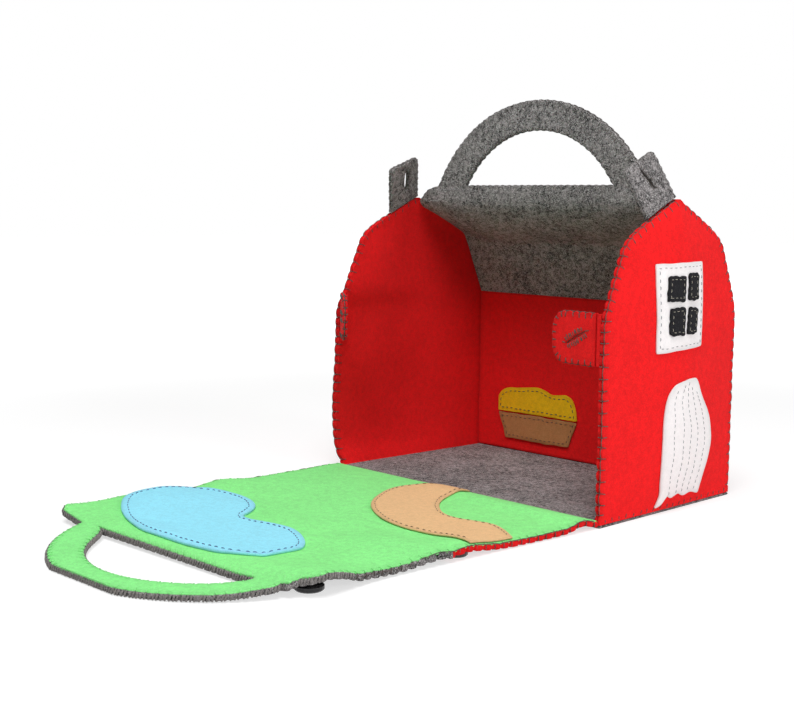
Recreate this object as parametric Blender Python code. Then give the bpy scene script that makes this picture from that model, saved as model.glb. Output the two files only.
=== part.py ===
"""A toy barn sewn from felt, opened out as a play set.

The barn stands on z = 0 with the centre of its floor at the origin, open towards -Y.
Its front wall and the front half of its roof lie in front of it as a mat, face up.
Lengths are in metres.
"""
from math import acos, asin, atan2, cos, pi, radians, sin, sqrt

import bmesh
import bpy
from mathutils import Matrix, Vector

# Barn, over its outer felt
BARN_WIDTH = 0.252
BARN_DEPTH = 0.156
EAVE_HEIGHT = 0.137
STEEP_RISE = 0.051
SHALLOW_RISE = 0.027
KNEE_INSET = 0.022
FRONT_SPLAY = 0.004
RIGHT_CREASE = 0.010
LEFT_CREASE = 0.008
CREASE_ROUNDING_share = 0.15
PEAK_FLAT = 0.0005

# Felt, and the gap kept between touching pieces
FELT = 0.0020
PATCH_FELT = 0.0012
TAB_FELT = 0.0015
GAP = 0.0003

# Mat: the height of its face at the floor's front edge
HINGE_HEIGHT = 0.0053
FOLD_RELIEF = 0.0010

# Handles, measured above the ridge
HANDLE_WIDTH = 0.203
HANDLE_RISE = 0.0625
GRIP_WIDTH = 0.143
GRIP_RISE = 0.0405
HANDLE_FOOT_WIDTH = 0.238
HANDLE_FOOT_DROP = 0.007
HANDLE_FOOT_RISE = 0.009

# Side tabs, fastened at the gables' front edges
SIDE_TAB_LENGTH = 0.038
SIDE_TAB_HEIGHT = 0.034
SIDE_TAB_DROP = 0.014
SIDE_TAB_ROUNDING = 0.008
RIGHT_TAB_FOLD = radians(93)
LEFT_TAB_FOLD = radians(52)

# Peak tabs, fastened along the gables' front upper slopes
PEAK_TAB_LENGTH = 0.035
PEAK_TAB_WIDTH = 0.0345
PEAK_TAB_START = 0.0005
PEAK_TAB_SEAT = 0.0007
PEAK_TAB_ROUNDING = 0.004
RIGHT_PEAK_TAB_LEAN = radians(15)
LEFT_PEAK_TAB_LEAN = radians(24)

# Buttonholes
SLIT_LENGTH = 0.019
SLIT_WIDTH = 0.0017
SLIT_START = 0.009

# Buttons
BUTTON_RADIUS = 0.0085
BUTTON_THICKNESS = 0.0038
BUTTON_ROUNDING = 0.0009
BUTTON_DISH_RADIUS = 0.0055
BUTTON_DISH_DEPTH = 0.0008
BUTTON_HOLE_RADIUS = 0.0009
BUTTON_HOLE_SPREAD = 0.0022
BUTTON_REACH = 0.0125

# Window on the right gable, measured from its front edge and from the ground
WINDOW_START = 0.046
WINDOW_WIDTH = 0.055
WINDOW_FOOT = 0.1125
WINDOW_HEIGHT = 0.060
PANE_BORDER = 0.010
PANE_BAR = 0.0026
PANE_WIDTH = 0.0195
LOWER_PANE_FOOT = 0.0105
LOWER_PANE_HEIGHT = 0.0200
UPPER_PANE_HEIGHT = 0.0175
PANE_RAIL = 0.0036

# Door on the right gable
DOOR_START = 0.0566
DOOR_WIDTH = 0.0644
DOOR_FOOT = 0.0095
DOOR_HEIGHT = 0.0835

# Hay and trough on the back wall
HAY_LEFT = -0.097
HAY_WIDTH = 0.085
HAY_FOOT = 0.0365
HAY_HEIGHT = 0.0235
TROUGH_FOOT = 0.014
TROUGH_HEIGHT = 0.0222
TROUGH_FLARE = 0.009

# Pond and path on the mat
POND_LENGTH = 0.174
POND_BREADTH = 0.103
POND_LEFT = -0.1205
POND_START = 0.006
PATH_LEFT = -0.045
PATH_WIDTH = 0.1685
PATH_START = 0.003
PATH_REACH = 0.115

# How finely curves are cut
GABLE_COLUMNS = 10
WALL_ROWS = 8
STEEP_ROWS = 4
SHALLOW_ROWS = 3
ARCH_STEPS = 28
CORNER_STEPS = 4
SMOOTH_STEPS = 3
BUTTON_SIDES = 24
HOLE_SIDES = 8
PATCH_COLUMNS = 8
SHARP_ANGLE = radians(40)
OVERRUN = 0.002

KNEE_HEIGHT = EAVE_HEIGHT + STEEP_RISE
PEAK_HEIGHT = KNEE_HEIGHT + SHALLOW_RISE
SIDE_TAB_CENTRE = EAVE_HEIGHT - SIDE_TAB_DROP
PANEL = 2 * FELT + GAP
TAB_PANEL = 2 * TAB_FELT + GAP

# Shares of a patch's own length and breadth, round its outline
POND_shares = [
    (0.12, 0.78), (0.035, 0.61), (0.00, 0.41), (0.03, 0.19), (0.11, 0.06), (0.235, 0.00), (0.36, 0.01),
    (0.445, 0.10), (0.50, 0.22), (0.57, 0.31), (0.69, 0.30), (0.84, 0.28), (0.94, 0.36), (0.995, 0.48),
    (1.00, 0.62), (0.96, 0.84), (0.855, 0.97), (0.67, 1.00), (0.50, 0.99), (0.31, 0.92),
]
PATH_OUTER_shares = [
    (0.00, 0.00), (0.11, 0.18), (0.155, 0.39), (0.22, 0.62), (0.33, 0.79), (0.51, 0.94), (0.63, 0.99),
    (0.72, 0.955), (0.85, 0.94), (0.90, 0.92), (1.00, 1.00),
]
PATH_INNER_shares = [
    (1.00, 0.73), (0.875, 0.60), (0.785, 0.59), (0.62, 0.65), (0.56, 0.63), (0.45, 0.48), (0.33, 0.20),
    (0.37, 0.00),
]
HAY_shares = [
    (0.00, 0.55), (0.04, 0.72), (0.12, 0.86), (0.24, 0.90), (0.36, 0.95), (0.50, 1.00), (0.60, 0.93),
    (0.68, 0.82), (0.77, 0.84), (0.86, 0.87), (0.94, 0.72), (0.98, 0.42),
]
# The door's height, near edge and far edge, as shares of its own height and width
DOOR_shares = [
    (0.00, 0.09, 0.83), (0.06, 0.06, 0.85), (0.16, 0.035, 0.89), (0.28, 0.02, 0.955), (0.425, 0.01, 1.00),
    (0.54, 0.005, 0.975), (0.63, 0.00, 0.935), (0.71, 0.005, 0.87), (0.77, 0.015, 0.80), (0.83, 0.035, 0.73),
    (0.89, 0.07, 0.67), (0.94, 0.13, 0.63), (0.97, 0.20, 0.60), (0.99, 0.33, 0.57), (1.00, 0.42, 0.54),
]

# Felt and button colours
RED = ("red_felt", (0.610, 0.010, 0.020), 0.92)
GREY = ("grey_felt", (0.095, 0.092, 0.094), 0.94)
GREEN = ("green_felt", (0.070, 0.600, 0.100), 0.93)
BLUE = ("blue_felt", (0.060, 0.420, 0.800), 0.93)
TAN = ("tan_felt", (0.690, 0.430, 0.180), 0.93)
YELLOW = ("yellow_felt", (0.780, 0.520, 0.010), 0.93)
BROWN = ("brown_felt", (0.350, 0.160, 0.060), 0.93)
WHITE = ("white_felt", (0.830, 0.820, 0.840), 0.92)
BLACK = ("black_felt", (0.012, 0.012, 0.014), 0.92)
BUTTON = ("black_button", (0.010, 0.010, 0.012), 0.25)


def material(finish):
    """The Principled material of one finish, made once."""
    name, colour, roughness = finish
    made = bpy.data.materials.get(name) or bpy.data.materials.new(name)
    made.use_nodes = True
    shader = made.node_tree.nodes["Principled BSDF"]
    shader.inputs["Base Color"].default_value = (*colour, 1)
    shader.inputs["Roughness"].default_value = roughness
    shader.inputs["Metallic"].default_value = 0
    return made


def piece(name, form, finish, parent=None, curved=False):
    """Put a bmesh in the scene as a named object, with its faces turned outward."""
    bmesh.ops.recalc_face_normals(form, faces=form.faces)
    mesh = bpy.data.meshes.new(name)
    form.to_mesh(mesh)
    form.free()
    made = bpy.data.objects.new(name, mesh)
    bpy.context.scene.collection.objects.link(made)
    made.data.materials.append(material(finish))
    made.parent = parent
    if curved:
        made.data.shade_smooth()
        made.data.set_sharp_from_angle(angle=SHARP_ANGLE)
    return made


def fold(name, place, parent=None):
    """An empty on a fold's axis, for the pieces that turn there."""
    made = bpy.data.objects.new(name, None)
    bpy.context.scene.collection.objects.link(made)
    made.parent = parent
    made.matrix_local = place
    return made


def cut(target, cutter):
    """Take a hidden cutter's shape out of a piece."""
    cutter.hide_render = True
    cutter.display_type = "WIRE"
    take = target.modifiers.new("cut", "BOOLEAN")
    take.operation = "DIFFERENCE"
    take.solver = "EXACT"
    take.object = cutter


# Plane figures
def mitred(path, distance):
    """A path of (y, z) points moved sideways to its left, with mitred corners."""
    sides = [(b - a).normalized() for a, b in zip(path, path[1:])]
    normals = [Vector((-side.y, side.x)) for side in sides]
    moved = [path[0] + normals[0] * distance]
    for corner, before, after in zip(path[1:], normals, normals[1:]):
        moved.append(corner + (before + after) * distance / (1 + before.dot(after)))
    moved.append(path[-1] + normals[-1] * distance)
    return moved


def segment_at(path, height):
    """The stretch of a rising path that holds a height, or its last stretch."""
    for a, b in zip(path, path[1:]):
        if height <= b.y:
            return a, b
    return path[-2], path[-1]


def depth_at(path, height):
    """y on a rising path of (y, z) points at height z."""
    a, b = segment_at(path, height)
    return a.x + (b.x - a.x) * (height - a.y) / (b.y - a.y)


def height_at(path, depth):
    """z on the last stretch of a path of (y, z) points, at depth y."""
    a, b = path[-2], path[-1]
    return a.y + (b.y - a.y) * (depth - a.x) / (b.x - a.x)


def arc(width, rise, steps):
    """A circular arc over a chord, from its right end to its left, as (x, height) points."""
    radius = (rise ** 2 + (width / 2) ** 2) / (2 * rise)
    half_angle = atan2(width / 2, radius - rise)
    angles = [half_angle * (1 - 2 * k / steps) for k in range(steps + 1)]
    return [(radius * sin(a), radius * cos(a) - radius + rise) for a in angles]


def rounded_end(width, start, end, rounding, base_rounding=0):
    """A strip along y, centred on x = 0, with its far corners rounded, and its near ones if asked."""
    outline = []
    for side, edge, radius, turn in (
        (1, start, base_rounding, -pi / 2), (1, end, rounding, 0),
        (-1, end, rounding, pi / 2), (-1, start, base_rounding, pi),
    ):
        inward = radius if edge == start else -radius
        centre = (side * (width / 2 - radius), edge + inward)
        steps = CORNER_STEPS if radius else 0
        for k in range(steps + 1):
            angle = turn + pi / 2 * k / max(steps, 1)
            outline.append((centre[0] + radius * cos(angle), centre[1] + radius * sin(angle)))
    return outline


def smooth(points, steps, closed=True):
    """A curve through the given points, bent like a drawn spline."""
    count = len(points)
    curve = []
    for k in range(count if closed else count - 1):
        around = [k - 1, k, k + 1, k + 2]
        if closed:
            p, q, r, s = (Vector(points[n % count]) for n in around)
        else:
            p, q, r, s = (Vector(points[min(max(n, 0), count - 1)]) for n in around)
        for step in range(steps):
            t = step / steps
            curve.append(
                q + (r - p) * t / 2 + (2 * p - 5 * q + 4 * r - s) * t ** 2 / 2
                + (3 * q - p - 3 * r + s) * t ** 3 / 2
            )
    if not closed:
        curve.append(Vector(points[-1]))
    return [(v.x, v.y) for v in curve]


def clipped(outline, start, end):
    """The part of an outline that lies between two values of y."""
    for limit, sign in ((start, 1), (end, -1)):
        kept = []
        for (ax, ay), (bx, by) in zip(outline, outline[1:] + outline[:1]):
            a_in = (ay - limit) * sign >= 0
            b_in = (by - limit) * sign >= 0
            if a_in:
                kept.append((ax, ay))
            if a_in != b_in:
                kept.append((ax + (bx - ax) * (limit - ay) / (by - ay), limit))
        outline = kept
    return outline


# Solid forms
def slab(outline, low, high):
    """A flat sheet with an outline in x and y, between two heights."""
    form = bmesh.new()
    face = form.faces.new([form.verts.new((x, y, low)) for x, y in outline])
    top = bmesh.ops.extrude_face_region(form, geom=[face])["geom"]
    raised = [v for v in top if isinstance(v, bmesh.types.BMVert)]
    bmesh.ops.translate(form, vec=(0, 0, high - low), verts=raised)
    return form


def across(profile, half_width):
    """A profile in y and z carried across the barn, to half_width(y) on each side."""
    form = bmesh.new()
    left = [form.verts.new((-half_width(y), y, z)) for y, z in profile]
    right = [form.verts.new((half_width(y), y, z)) for y, z in profile]
    form.faces.new(left)
    form.faces.new(right[::-1])
    for k in range(len(profile)):
        n = (k + 1) % len(profile)
        form.faces.new((left[k], right[k], right[n], left[n]))
    return form


def shell(front, back):
    """A closed sheet between two grids of points with as many rows and columns."""
    form = bmesh.new()
    rows, columns = len(front), len(front[0])
    one = [[form.verts.new(p) for p in row] for row in front]
    two = [[form.verts.new(p) for p in row] for row in back]
    for r in range(rows - 1):
        for c in range(columns - 1):
            for grid in (one, two):
                form.faces.new((grid[r][c], grid[r][c + 1], grid[r + 1][c + 1], grid[r + 1][c]))
    rim = [(0, c) for c in range(columns)] + [(r, columns - 1) for r in range(1, rows)]
    rim += [(rows - 1, c) for c in range(columns - 2, -1, -1)] + [(r, 0) for r in range(rows - 2, 0, -1)]
    for (r, c), (s, d) in zip(rim, rim[1:] + rim[:1]):
        form.faces.new((one[r][c], one[s][d], two[s][d], two[r][c]))
    return form


def turned(profile, sides):
    """A profile of (radius, z) points turned round the z axis, closed flat at both ends."""
    form = bmesh.new()
    rings = []
    for radius, z in profile:
        angles = [2 * pi * k / sides for k in range(sides)]
        rings.append([form.verts.new((radius * cos(a), radius * sin(a), z)) for a in angles])
    for low, high in zip(rings, rings[1:]):
        for k in range(sides):
            n = (k + 1) % sides
            form.faces.new((low[k], low[n], high[n], high[k]))
    form.faces.new(rings[0])
    form.faces.new(rings[-1])
    return form


# The barn's outline seen from the side
HALF_DEPTH = BARN_DEPTH / 2
BACK_PATH = [
    Vector((HALF_DEPTH, 0)),
    Vector((HALF_DEPTH, EAVE_HEIGHT)),
    Vector((HALF_DEPTH - KNEE_INSET, KNEE_HEIGHT)),
    Vector((0, PEAK_HEIGHT)),
]
FRONT_PATH = [Vector((-p.x, p.y)) for p in BACK_PATH]
SEAT_PATH = mitred(BACK_PATH, FELT + GAP)
HANDLE_BACK = GAP + PANEL
RIDGE_CUT = HANDLE_BACK + GAP


def splay(y):
    """How far a gable stands out sideways at depth y, because the barn opens towards its front."""
    return FRONT_SPLAY * (HALF_DEPTH - y) / BARN_DEPTH


def outer_half(y):
    return BARN_WIDTH / 2 + splay(y)


def inner_half(y):
    return outer_half(y) - PANEL - GAP


def gable_front(z):
    return depth_at(FRONT_PATH, z)


def gable_back(z):
    """Under the roof's felt, the gable stops short; at the peak it fills out to the handle."""
    return max(depth_at(SEAT_PATH, z), min(depth_at(BACK_PATH, z), HANDLE_BACK))


def crease(y, z, reach):
    """How far a gable's felt stands out: most along its centre line, and nothing along its edges."""
    share = (y - gable_front(z)) / (gable_back(z) - gable_front(z))
    rounding = CREASE_ROUNDING_share
    ramp = sqrt((2 * share - 1) ** 2 + rounding ** 2) - rounding
    tent = 1 - ramp / (sqrt(1 + rounding ** 2) - rounding)
    return reach * tent * (1 - (2 * z / PEAK_HEIGHT - 1) ** 4)


def even(start, end, steps):
    return [start + (end - start) * k / steps for k in range(steps)]


def gable_heights():
    """Where the gable's rows of points lie, with one at each corner of its outline."""
    shoulder = height_at(SEAT_PATH, HANDLE_BACK)
    crown = height_at(BACK_PATH, HANDLE_BACK)
    rows = even(FELT + GAP, EAVE_HEIGHT, WALL_ROWS) + even(EAVE_HEIGHT, KNEE_HEIGHT, STEEP_ROWS)
    rows += even(KNEE_HEIGHT, shoulder, SHALLOW_ROWS)
    return rows + [shoulder, crown, PEAK_HEIGHT - PEAK_FLAT]


def gable_sheet(side, reach, outside, inside):
    """One felt layer of a gable, between two depths under its outer face."""
    grids = []
    for inset in (outside, inside):
        grid = []
        for z in gable_heights():
            front, back = gable_front(z), gable_back(z)
            ys = [front + (back - front) * c / GABLE_COLUMNS for c in range(GABLE_COLUMNS + 1)]
            grid.append([(side * (outer_half(y) + crease(y, z, reach) - inset), y, z) for y in ys])
        grids.append(grid)
    return shell(*grids)


def gable_patch(rows, level):
    """Felt laid on the right gable. Each row is (height, start, end), measured from the front edge."""
    grids = []
    for lift in (level, level + PATCH_FELT):
        grid = []
        for z, start, end in rows:
            ys = [start + (end - start) * c / PATCH_COLUMNS - HALF_DEPTH for c in range(PATCH_COLUMNS + 1)]
            grid.append([(outer_half(y) + crease(y, z, RIGHT_CREASE) + lift, y, z) for y in ys])
        grids.append(grid)
    return shell(*grids)


# Barn body
def build_floor():
    piece("floor_outer", across([
        (-HALF_DEPTH, 0), (HALF_DEPTH, 0), (HALF_DEPTH, FELT), (-HALF_DEPTH, FELT),
    ], outer_half), GREY)
    back = HALF_DEPTH - FELT - GAP
    piece("floor_lining", across([
        (-HALF_DEPTH, FELT + GAP), (back, FELT + GAP), (back, PANEL), (-HALF_DEPTH, PANEL),
    ], inner_half), GREY)


def build_gables():
    for word, side, reach in (("right", 1, RIGHT_CREASE), ("left", -1, LEFT_CREASE)):
        piece(f"{word}_gable_outer", gable_sheet(side, reach, 0, FELT), RED, None, True)
        piece(f"{word}_gable_lining", gable_sheet(side, reach, FELT + GAP, PANEL), RED, None, True)


def build_back():
    """The back wall and the bent roof sheet above it, each an outer and a lining layer."""
    for layer, near, far, half_width, foot in (
        ("outer", 0, FELT, outer_half, FELT + GAP),
        ("lining", FELT + GAP, PANEL, inner_half, PANEL + GAP),
    ):
        out, into = mitred(BACK_PATH, near), mitred(BACK_PATH, far)
        wall = [(out[0].x, foot), out[1], into[1], (into[0].x, foot)]
        piece(f"back_wall_{layer}", across(wall, half_width), RED)
        lift = (out[2] - out[1]).normalized() * GAP
        ends = [(RIDGE_CUT, height_at(path, RIDGE_CUT)) for path in (out, into)]
        roof = [out[1] + lift, out[2], ends[0], ends[1], into[2], into[1] + lift]
        piece(f"back_roof_{layer}", across(roof, half_width), GREY)


def handle_outline(foot):
    """Half of the grip's outer outline and its foot strip, as (x, height) from a foot height up."""
    top = PEAK_HEIGHT + HANDLE_FOOT_RISE
    shoulder = PEAK_HEIGHT - PEAK_FLAT
    wide, narrow = HANDLE_FOOT_WIDTH / 2, HANDLE_WIDTH / 2
    if foot < shoulder:
        right = [(wide, foot), (wide, shoulder)]
    else:
        right = [(wide + (narrow - wide) * (foot - shoulder) / (top - shoulder), foot)]
    arch = [(x, top + z) for x, z in arc(HANDLE_WIDTH, HANDLE_RISE, ARCH_STEPS)]
    return right + arch + [(-x, z) for x, z in right[::-1]]


def grip_outline():
    top = PEAK_HEIGHT + HANDLE_FOOT_RISE
    return [(x, top + z) for x, z in arc(GRIP_WIDTH, GRIP_RISE, ARCH_STEPS)]


def build_back_handle():
    """Two layers standing upright behind the ridge, with one opening through both."""
    stand = fold("back_handle_stand", Matrix.Rotation(pi / 2, 4, "X"))
    hole = piece("back_grip_cutter", slab(grip_outline(), -HANDLE_BACK - OVERRUN, OVERRUN), GREY, stand)
    outline = handle_outline(PEAK_HEIGHT - HANDLE_FOOT_DROP)
    for layer, near in (("lining", GAP), ("outer", GAP + FELT + GAP)):
        made = piece(f"back_handle_{layer}", slab(outline, -near - FELT, -near), GREY, stand)
        cut(made, hole)


def build_window():
    end = WINDOW_START + WINDOW_WIDTH
    frame = [(z, WINDOW_START, end) for z in even(WINDOW_FOOT, WINDOW_FOOT + WINDOW_HEIGHT, PATCH_COLUMNS)]
    frame.append((WINDOW_FOOT + WINDOW_HEIGHT, WINDOW_START, end))
    piece("window_frame", gable_patch(frame, GAP), WHITE, None, True)
    lower = WINDOW_FOOT + LOWER_PANE_FOOT
    upper = lower + LOWER_PANE_HEIGHT + PANE_RAIL
    front = WINDOW_START + PANE_BORDER
    back = front + PANE_WIDTH + PANE_BAR
    for word, foot, height in (("lower", lower, LOWER_PANE_HEIGHT), ("upper", upper, UPPER_PANE_HEIGHT)):
        heights = [foot + height * k / CORNER_STEPS for k in range(CORNER_STEPS + 1)]
        for place, start in (("front", front), ("back", back)):
            pane = gable_patch([(z, start, start + PANE_WIDTH) for z in heights], 2 * GAP + PATCH_FELT)
            piece(f"window_pane_{word}_{place}", pane, BLACK, None, True)


def build_door():
    """A hand-cut patch with a round head that leans towards the front."""
    rows = [
        (DOOR_FOOT + DOOR_HEIGHT * up, DOOR_START + DOOR_WIDTH * near, DOOR_START + DOOR_WIDTH * far)
        for up, near, far in DOOR_shares
    ]
    piece("barn_door", gable_patch(rows, GAP), WHITE, None, True)


def build_feed():
    """A heap of hay over a trough, both laid on the back wall's lining."""
    place = Matrix.Translation((0, HALF_DEPTH - PANEL - GAP, 0))
    stand = fold("feed_stand", place @ Matrix.Rotation(pi / 2, 4, "X"))
    bumps = [(HAY_LEFT + HAY_WIDTH * x, HAY_FOOT + HAY_HEIGHT * z) for x, z in HAY_shares]
    hay = [(HAY_LEFT, HAY_FOOT)] + smooth(bumps, SMOOTH_STEPS, False) + [(HAY_LEFT + HAY_WIDTH, HAY_FOOT)]
    piece("hay_heap", slab(hay, 0, PATCH_FELT), YELLOW, stand)
    rim = HAY_FOOT - GAP
    left, right = HAY_LEFT, HAY_LEFT + HAY_WIDTH
    trough = [
        (left + TROUGH_FLARE, TROUGH_FOOT), (right - TROUGH_FLARE, TROUGH_FOOT),
        (right, min(rim, TROUGH_FOOT + TROUGH_HEIGHT)), (left, min(rim, TROUGH_FOOT + TROUGH_HEIGHT)),
    ]
    piece("trough", slab(trough, 0, PATCH_FELT), BROWN, stand)


# The front, as it hangs together when the barn is shut
FACE_PATH = mitred(FRONT_PATH, GAP)
SKIN_PATH = mitred(FRONT_PATH, GAP + PANEL)
WALL_LENGTH = FACE_PATH[1].y - HINGE_HEIGHT
STEEP_LENGTH = (FACE_PATH[2] - FACE_PATH[1]).length
SHALLOW_WAY = (FACE_PATH[3] - FACE_PATH[2]).normalized()
HANDLE_PIVOT = Vector((-HANDLE_BACK, height_at(SKIN_PATH, -HANDLE_BACK)))
SHALLOW_LENGTH = (HANDLE_PIVOT - FACE_PATH[2]).dot(SHALLOW_WAY)
HANDLE_REACH = PEAK_HEIGHT + HANDLE_FOOT_RISE + HANDLE_RISE - HANDLE_PIVOT.y

# Tabs in their straight pose lie in line with the gables, so the mat is that much narrower
SIDE_TAB_X = outer_half(-HALF_DEPTH) - PANEL
SIDE_TAB_Y = -HALF_DEPTH + PATCH_FELT + GAP + TAB_PANEL
SIDE_TAB_ROOT = SIDE_TAB_Y + HALF_DEPTH + GAP
SLOPE_WAY = (FRONT_PATH[3] - FRONT_PATH[2]).normalized()
PEAK_TAB_FOOT = FRONT_PATH[3] - SLOPE_WAY * (PEAK_TAB_START + PEAK_TAB_WIDTH / 2)
PEAK_TAB_X = outer_half(PEAK_TAB_FOOT.x) - PANEL
WALL_HALF = SIDE_TAB_X - GAP
RIDGE_HALF = PEAK_TAB_X - GAP

# Buttons sit where the tabs' holes come when the barn is shut
WALL_BUTTON_OUT = SIDE_TAB_CENTRE - HINGE_HEIGHT
WALL_BUTTON_X = WALL_HALF - BUTTON_REACH
RIDGE_BUTTON_OUT = SHALLOW_LENGTH - PEAK_TAB_START - PEAK_TAB_WIDTH / 2
RIDGE_BUTTON_X = RIDGE_HALF - BUTTON_REACH

# The mat rests on its buttons and on the front handle's tip
FACE_OVER_BUTTON = PANEL + GAP + BUTTON_THICKNESS
WALL_PITCH = asin((FACE_OVER_BUTTON - HINGE_HEIGHT) / (WALL_BUTTON_OUT - BUTTON_RADIUS))
EAVE_FOLD_HEIGHT = HINGE_HEIGHT + WALL_LENGTH * sin(WALL_PITCH)
ROOF_RUN = STEEP_LENGTH + RIDGE_BUTTON_OUT + BUTTON_RADIUS
ROOF_PITCH = asin((FACE_OVER_BUTTON - EAVE_FOLD_HEIGHT) / ROOF_RUN)
RIDGE_FACE_HEIGHT = EAVE_FOLD_HEIGHT + (STEEP_LENGTH + SHALLOW_LENGTH) * sin(ROOF_PITCH)
HANDLE_PITCH = -asin((RIDGE_FACE_HEIGHT - PANEL * cos(ROOF_PITCH)) / HANDLE_REACH)


def tilt(y, z, pitch):
    """A frame at (y, z) whose -Y runs outward and up by the pitch."""
    return Matrix.Translation((0, y, z)) @ Matrix.Rotation(-pitch, 4, "X")


def mat_layers(name, outline, parent, low=-PANEL):
    """The grey or red skin below and the green lining above, with the same outline."""
    skin = RED if name == "front_wall" else GREY
    made = [piece(f"{name}_outer", slab(outline, low, low + FELT), skin, parent)]
    made.append(piece(f"{name}_lining", slab(outline, low + FELT + GAP, low + PANEL), GREEN, parent))
    return made


def button(name, x, out, parent):
    """A dished button with four holes, on the outer side of the mat."""
    low = -FACE_OVER_BUTTON
    high = low + BUTTON_THICKNESS
    profile = [
        (BUTTON_DISH_RADIUS - BUTTON_DISH_DEPTH, low + BUTTON_DISH_DEPTH),
        (BUTTON_DISH_RADIUS, low),
        (BUTTON_RADIUS - BUTTON_ROUNDING, low),
        (BUTTON_RADIUS, low + BUTTON_ROUNDING),
        (BUTTON_RADIUS, high - BUTTON_ROUNDING),
        (BUTTON_RADIUS - BUTTON_ROUNDING, high),
    ]
    seat = fold(f"{name}_seat", Matrix.Translation((x, -out, 0)), parent)
    made = piece(name, turned(profile, BUTTON_SIDES), BUTTON, seat, True)
    holes = bmesh.new()
    for sx, sy in ((1, 1), (1, -1), (-1, 1), (-1, -1)):
        bmesh.ops.create_cone(
            holes, cap_ends=True, segments=HOLE_SIDES, radius1=BUTTON_HOLE_RADIUS, radius2=BUTTON_HOLE_RADIUS,
            depth=BUTTON_THICKNESS + 2 * OVERRUN,
            matrix=Matrix.Translation(
                (sx * BUTTON_HOLE_SPREAD / sqrt(2), sy * BUTTON_HOLE_SPREAD / sqrt(2), (low + high) / 2)),
        )
    cut(made, piece(f"{name}_cutter", holes, BUTTON, seat))


def build_front():
    """The front wall, the two roof slopes and the handle, each hung on the one before."""
    wall = fold("front_wall_fold", tilt(-HALF_DEPTH - GAP, HINGE_HEIGHT, WALL_PITCH))
    end = WALL_LENGTH - GAP / 2
    mat_layers("front_wall", [(-WALL_HALF, 0), (WALL_HALF, 0), (WALL_HALF, -end), (-WALL_HALF, -end)], wall)
    for word, side in (("right", 1), ("left", -1)):
        button(f"wall_button_{word}", side * WALL_BUTTON_X, WALL_BUTTON_OUT, wall)
    shape = [
        [(PATH_LEFT + PATH_WIDTH * x, -PATH_START - PATH_REACH * out) for x, out in shares]
        for shares in (PATH_OUTER_shares, PATH_INNER_shares)
    ]
    path = smooth(shape[0], SMOOTH_STEPS, False) + smooth(shape[1], SMOOTH_STEPS, False)
    piece("path", slab(path, GAP, GAP + PATCH_FELT), TAN, wall)

    steep = fold("front_eave_fold", tilt(-WALL_LENGTH, 0, ROOF_PITCH - WALL_PITCH), wall)
    start, end = GAP / 2, STEEP_LENGTH - GAP / 2
    sheet = [(-WALL_HALF, -start), (WALL_HALF, -start), (RIDGE_HALF, -end), (-RIDGE_HALF, -end)]
    mat_layers("front_steep_roof", sheet, steep)
    shallow = fold("front_knee_fold", tilt(-STEEP_LENGTH, 0, 0), steep)
    end = SHALLOW_LENGTH - GAP / 2
    sheet = [(-RIDGE_HALF, -start), (RIDGE_HALF, -start), (RIDGE_HALF, -end), (-RIDGE_HALF, -end)]
    mat_layers("front_shallow_roof", sheet, shallow)
    for word, side in (("right", 1), ("left", -1)):
        button(f"ridge_button_{word}", side * RIDGE_BUTTON_X, RIDGE_BUTTON_OUT, shallow)
    build_pond(steep, shallow)

    edge = Matrix.Translation((0, -SHALLOW_LENGTH, -PANEL))
    grip = fold("front_handle_fold", edge @ Matrix.Rotation(ROOF_PITCH - HANDLE_PITCH, 4, "X"), shallow)
    outline = [(x, HANDLE_PIVOT.y - z) for x, z in handle_outline(HANDLE_PIVOT.y + GAP / 2)]
    opening = [(x, HANDLE_PIVOT.y - z) for x, z in grip_outline()]
    hole = piece("front_grip_cutter", slab(opening, -OVERRUN, PANEL + OVERRUN), GREY, grip)
    for made in mat_layers("front_handle", outline, grip, 0):
        cut(made, hole)


def build_pond(steep, shallow):
    """One pond, cut where the knee fold crosses it."""
    shore = [(POND_LEFT + POND_LENGTH * x, POND_START + POND_BREADTH * out) for x, out in POND_shares]
    around = smooth(shore, SMOOTH_STEPS)
    near = clipped(around, 0, STEEP_LENGTH - FOLD_RELIEF)
    far = clipped(around, STEEP_LENGTH + FOLD_RELIEF, STEEP_LENGTH + SHALLOW_LENGTH)
    near = [(x, -out) for x, out in near]
    far = [(x, STEEP_LENGTH - out) for x, out in far]
    piece("pond_eave_half", slab(near, GAP, GAP + PATCH_FELT), BLUE, steep)
    piece("pond_ridge_half", slab(far, GAP, GAP + PATCH_FELT), BLUE, shallow)


def build_tab(name, hinge, width, root, length, rounding, finish):
    """Two layers with a buttonhole, standing off their hinge along its y, outer layer on top."""
    outline = rounded_end(width, root, root + length, rounding)
    near = root + SLIT_START
    slit = rounded_end(SLIT_WIDTH, near, near + SLIT_LENGTH, SLIT_WIDTH / 2, SLIT_WIDTH / 2)
    hole = piece(f"{name}_cutter", slab(slit, -OVERRUN, TAB_PANEL + OVERRUN), finish, hinge)
    for layer, low in (("lining", 0), ("outer", TAB_FELT + GAP)):
        made = piece(f"{name}_{layer}", slab(outline, low, low + TAB_FELT), finish, hinge)
        cut(made, hole)


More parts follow.
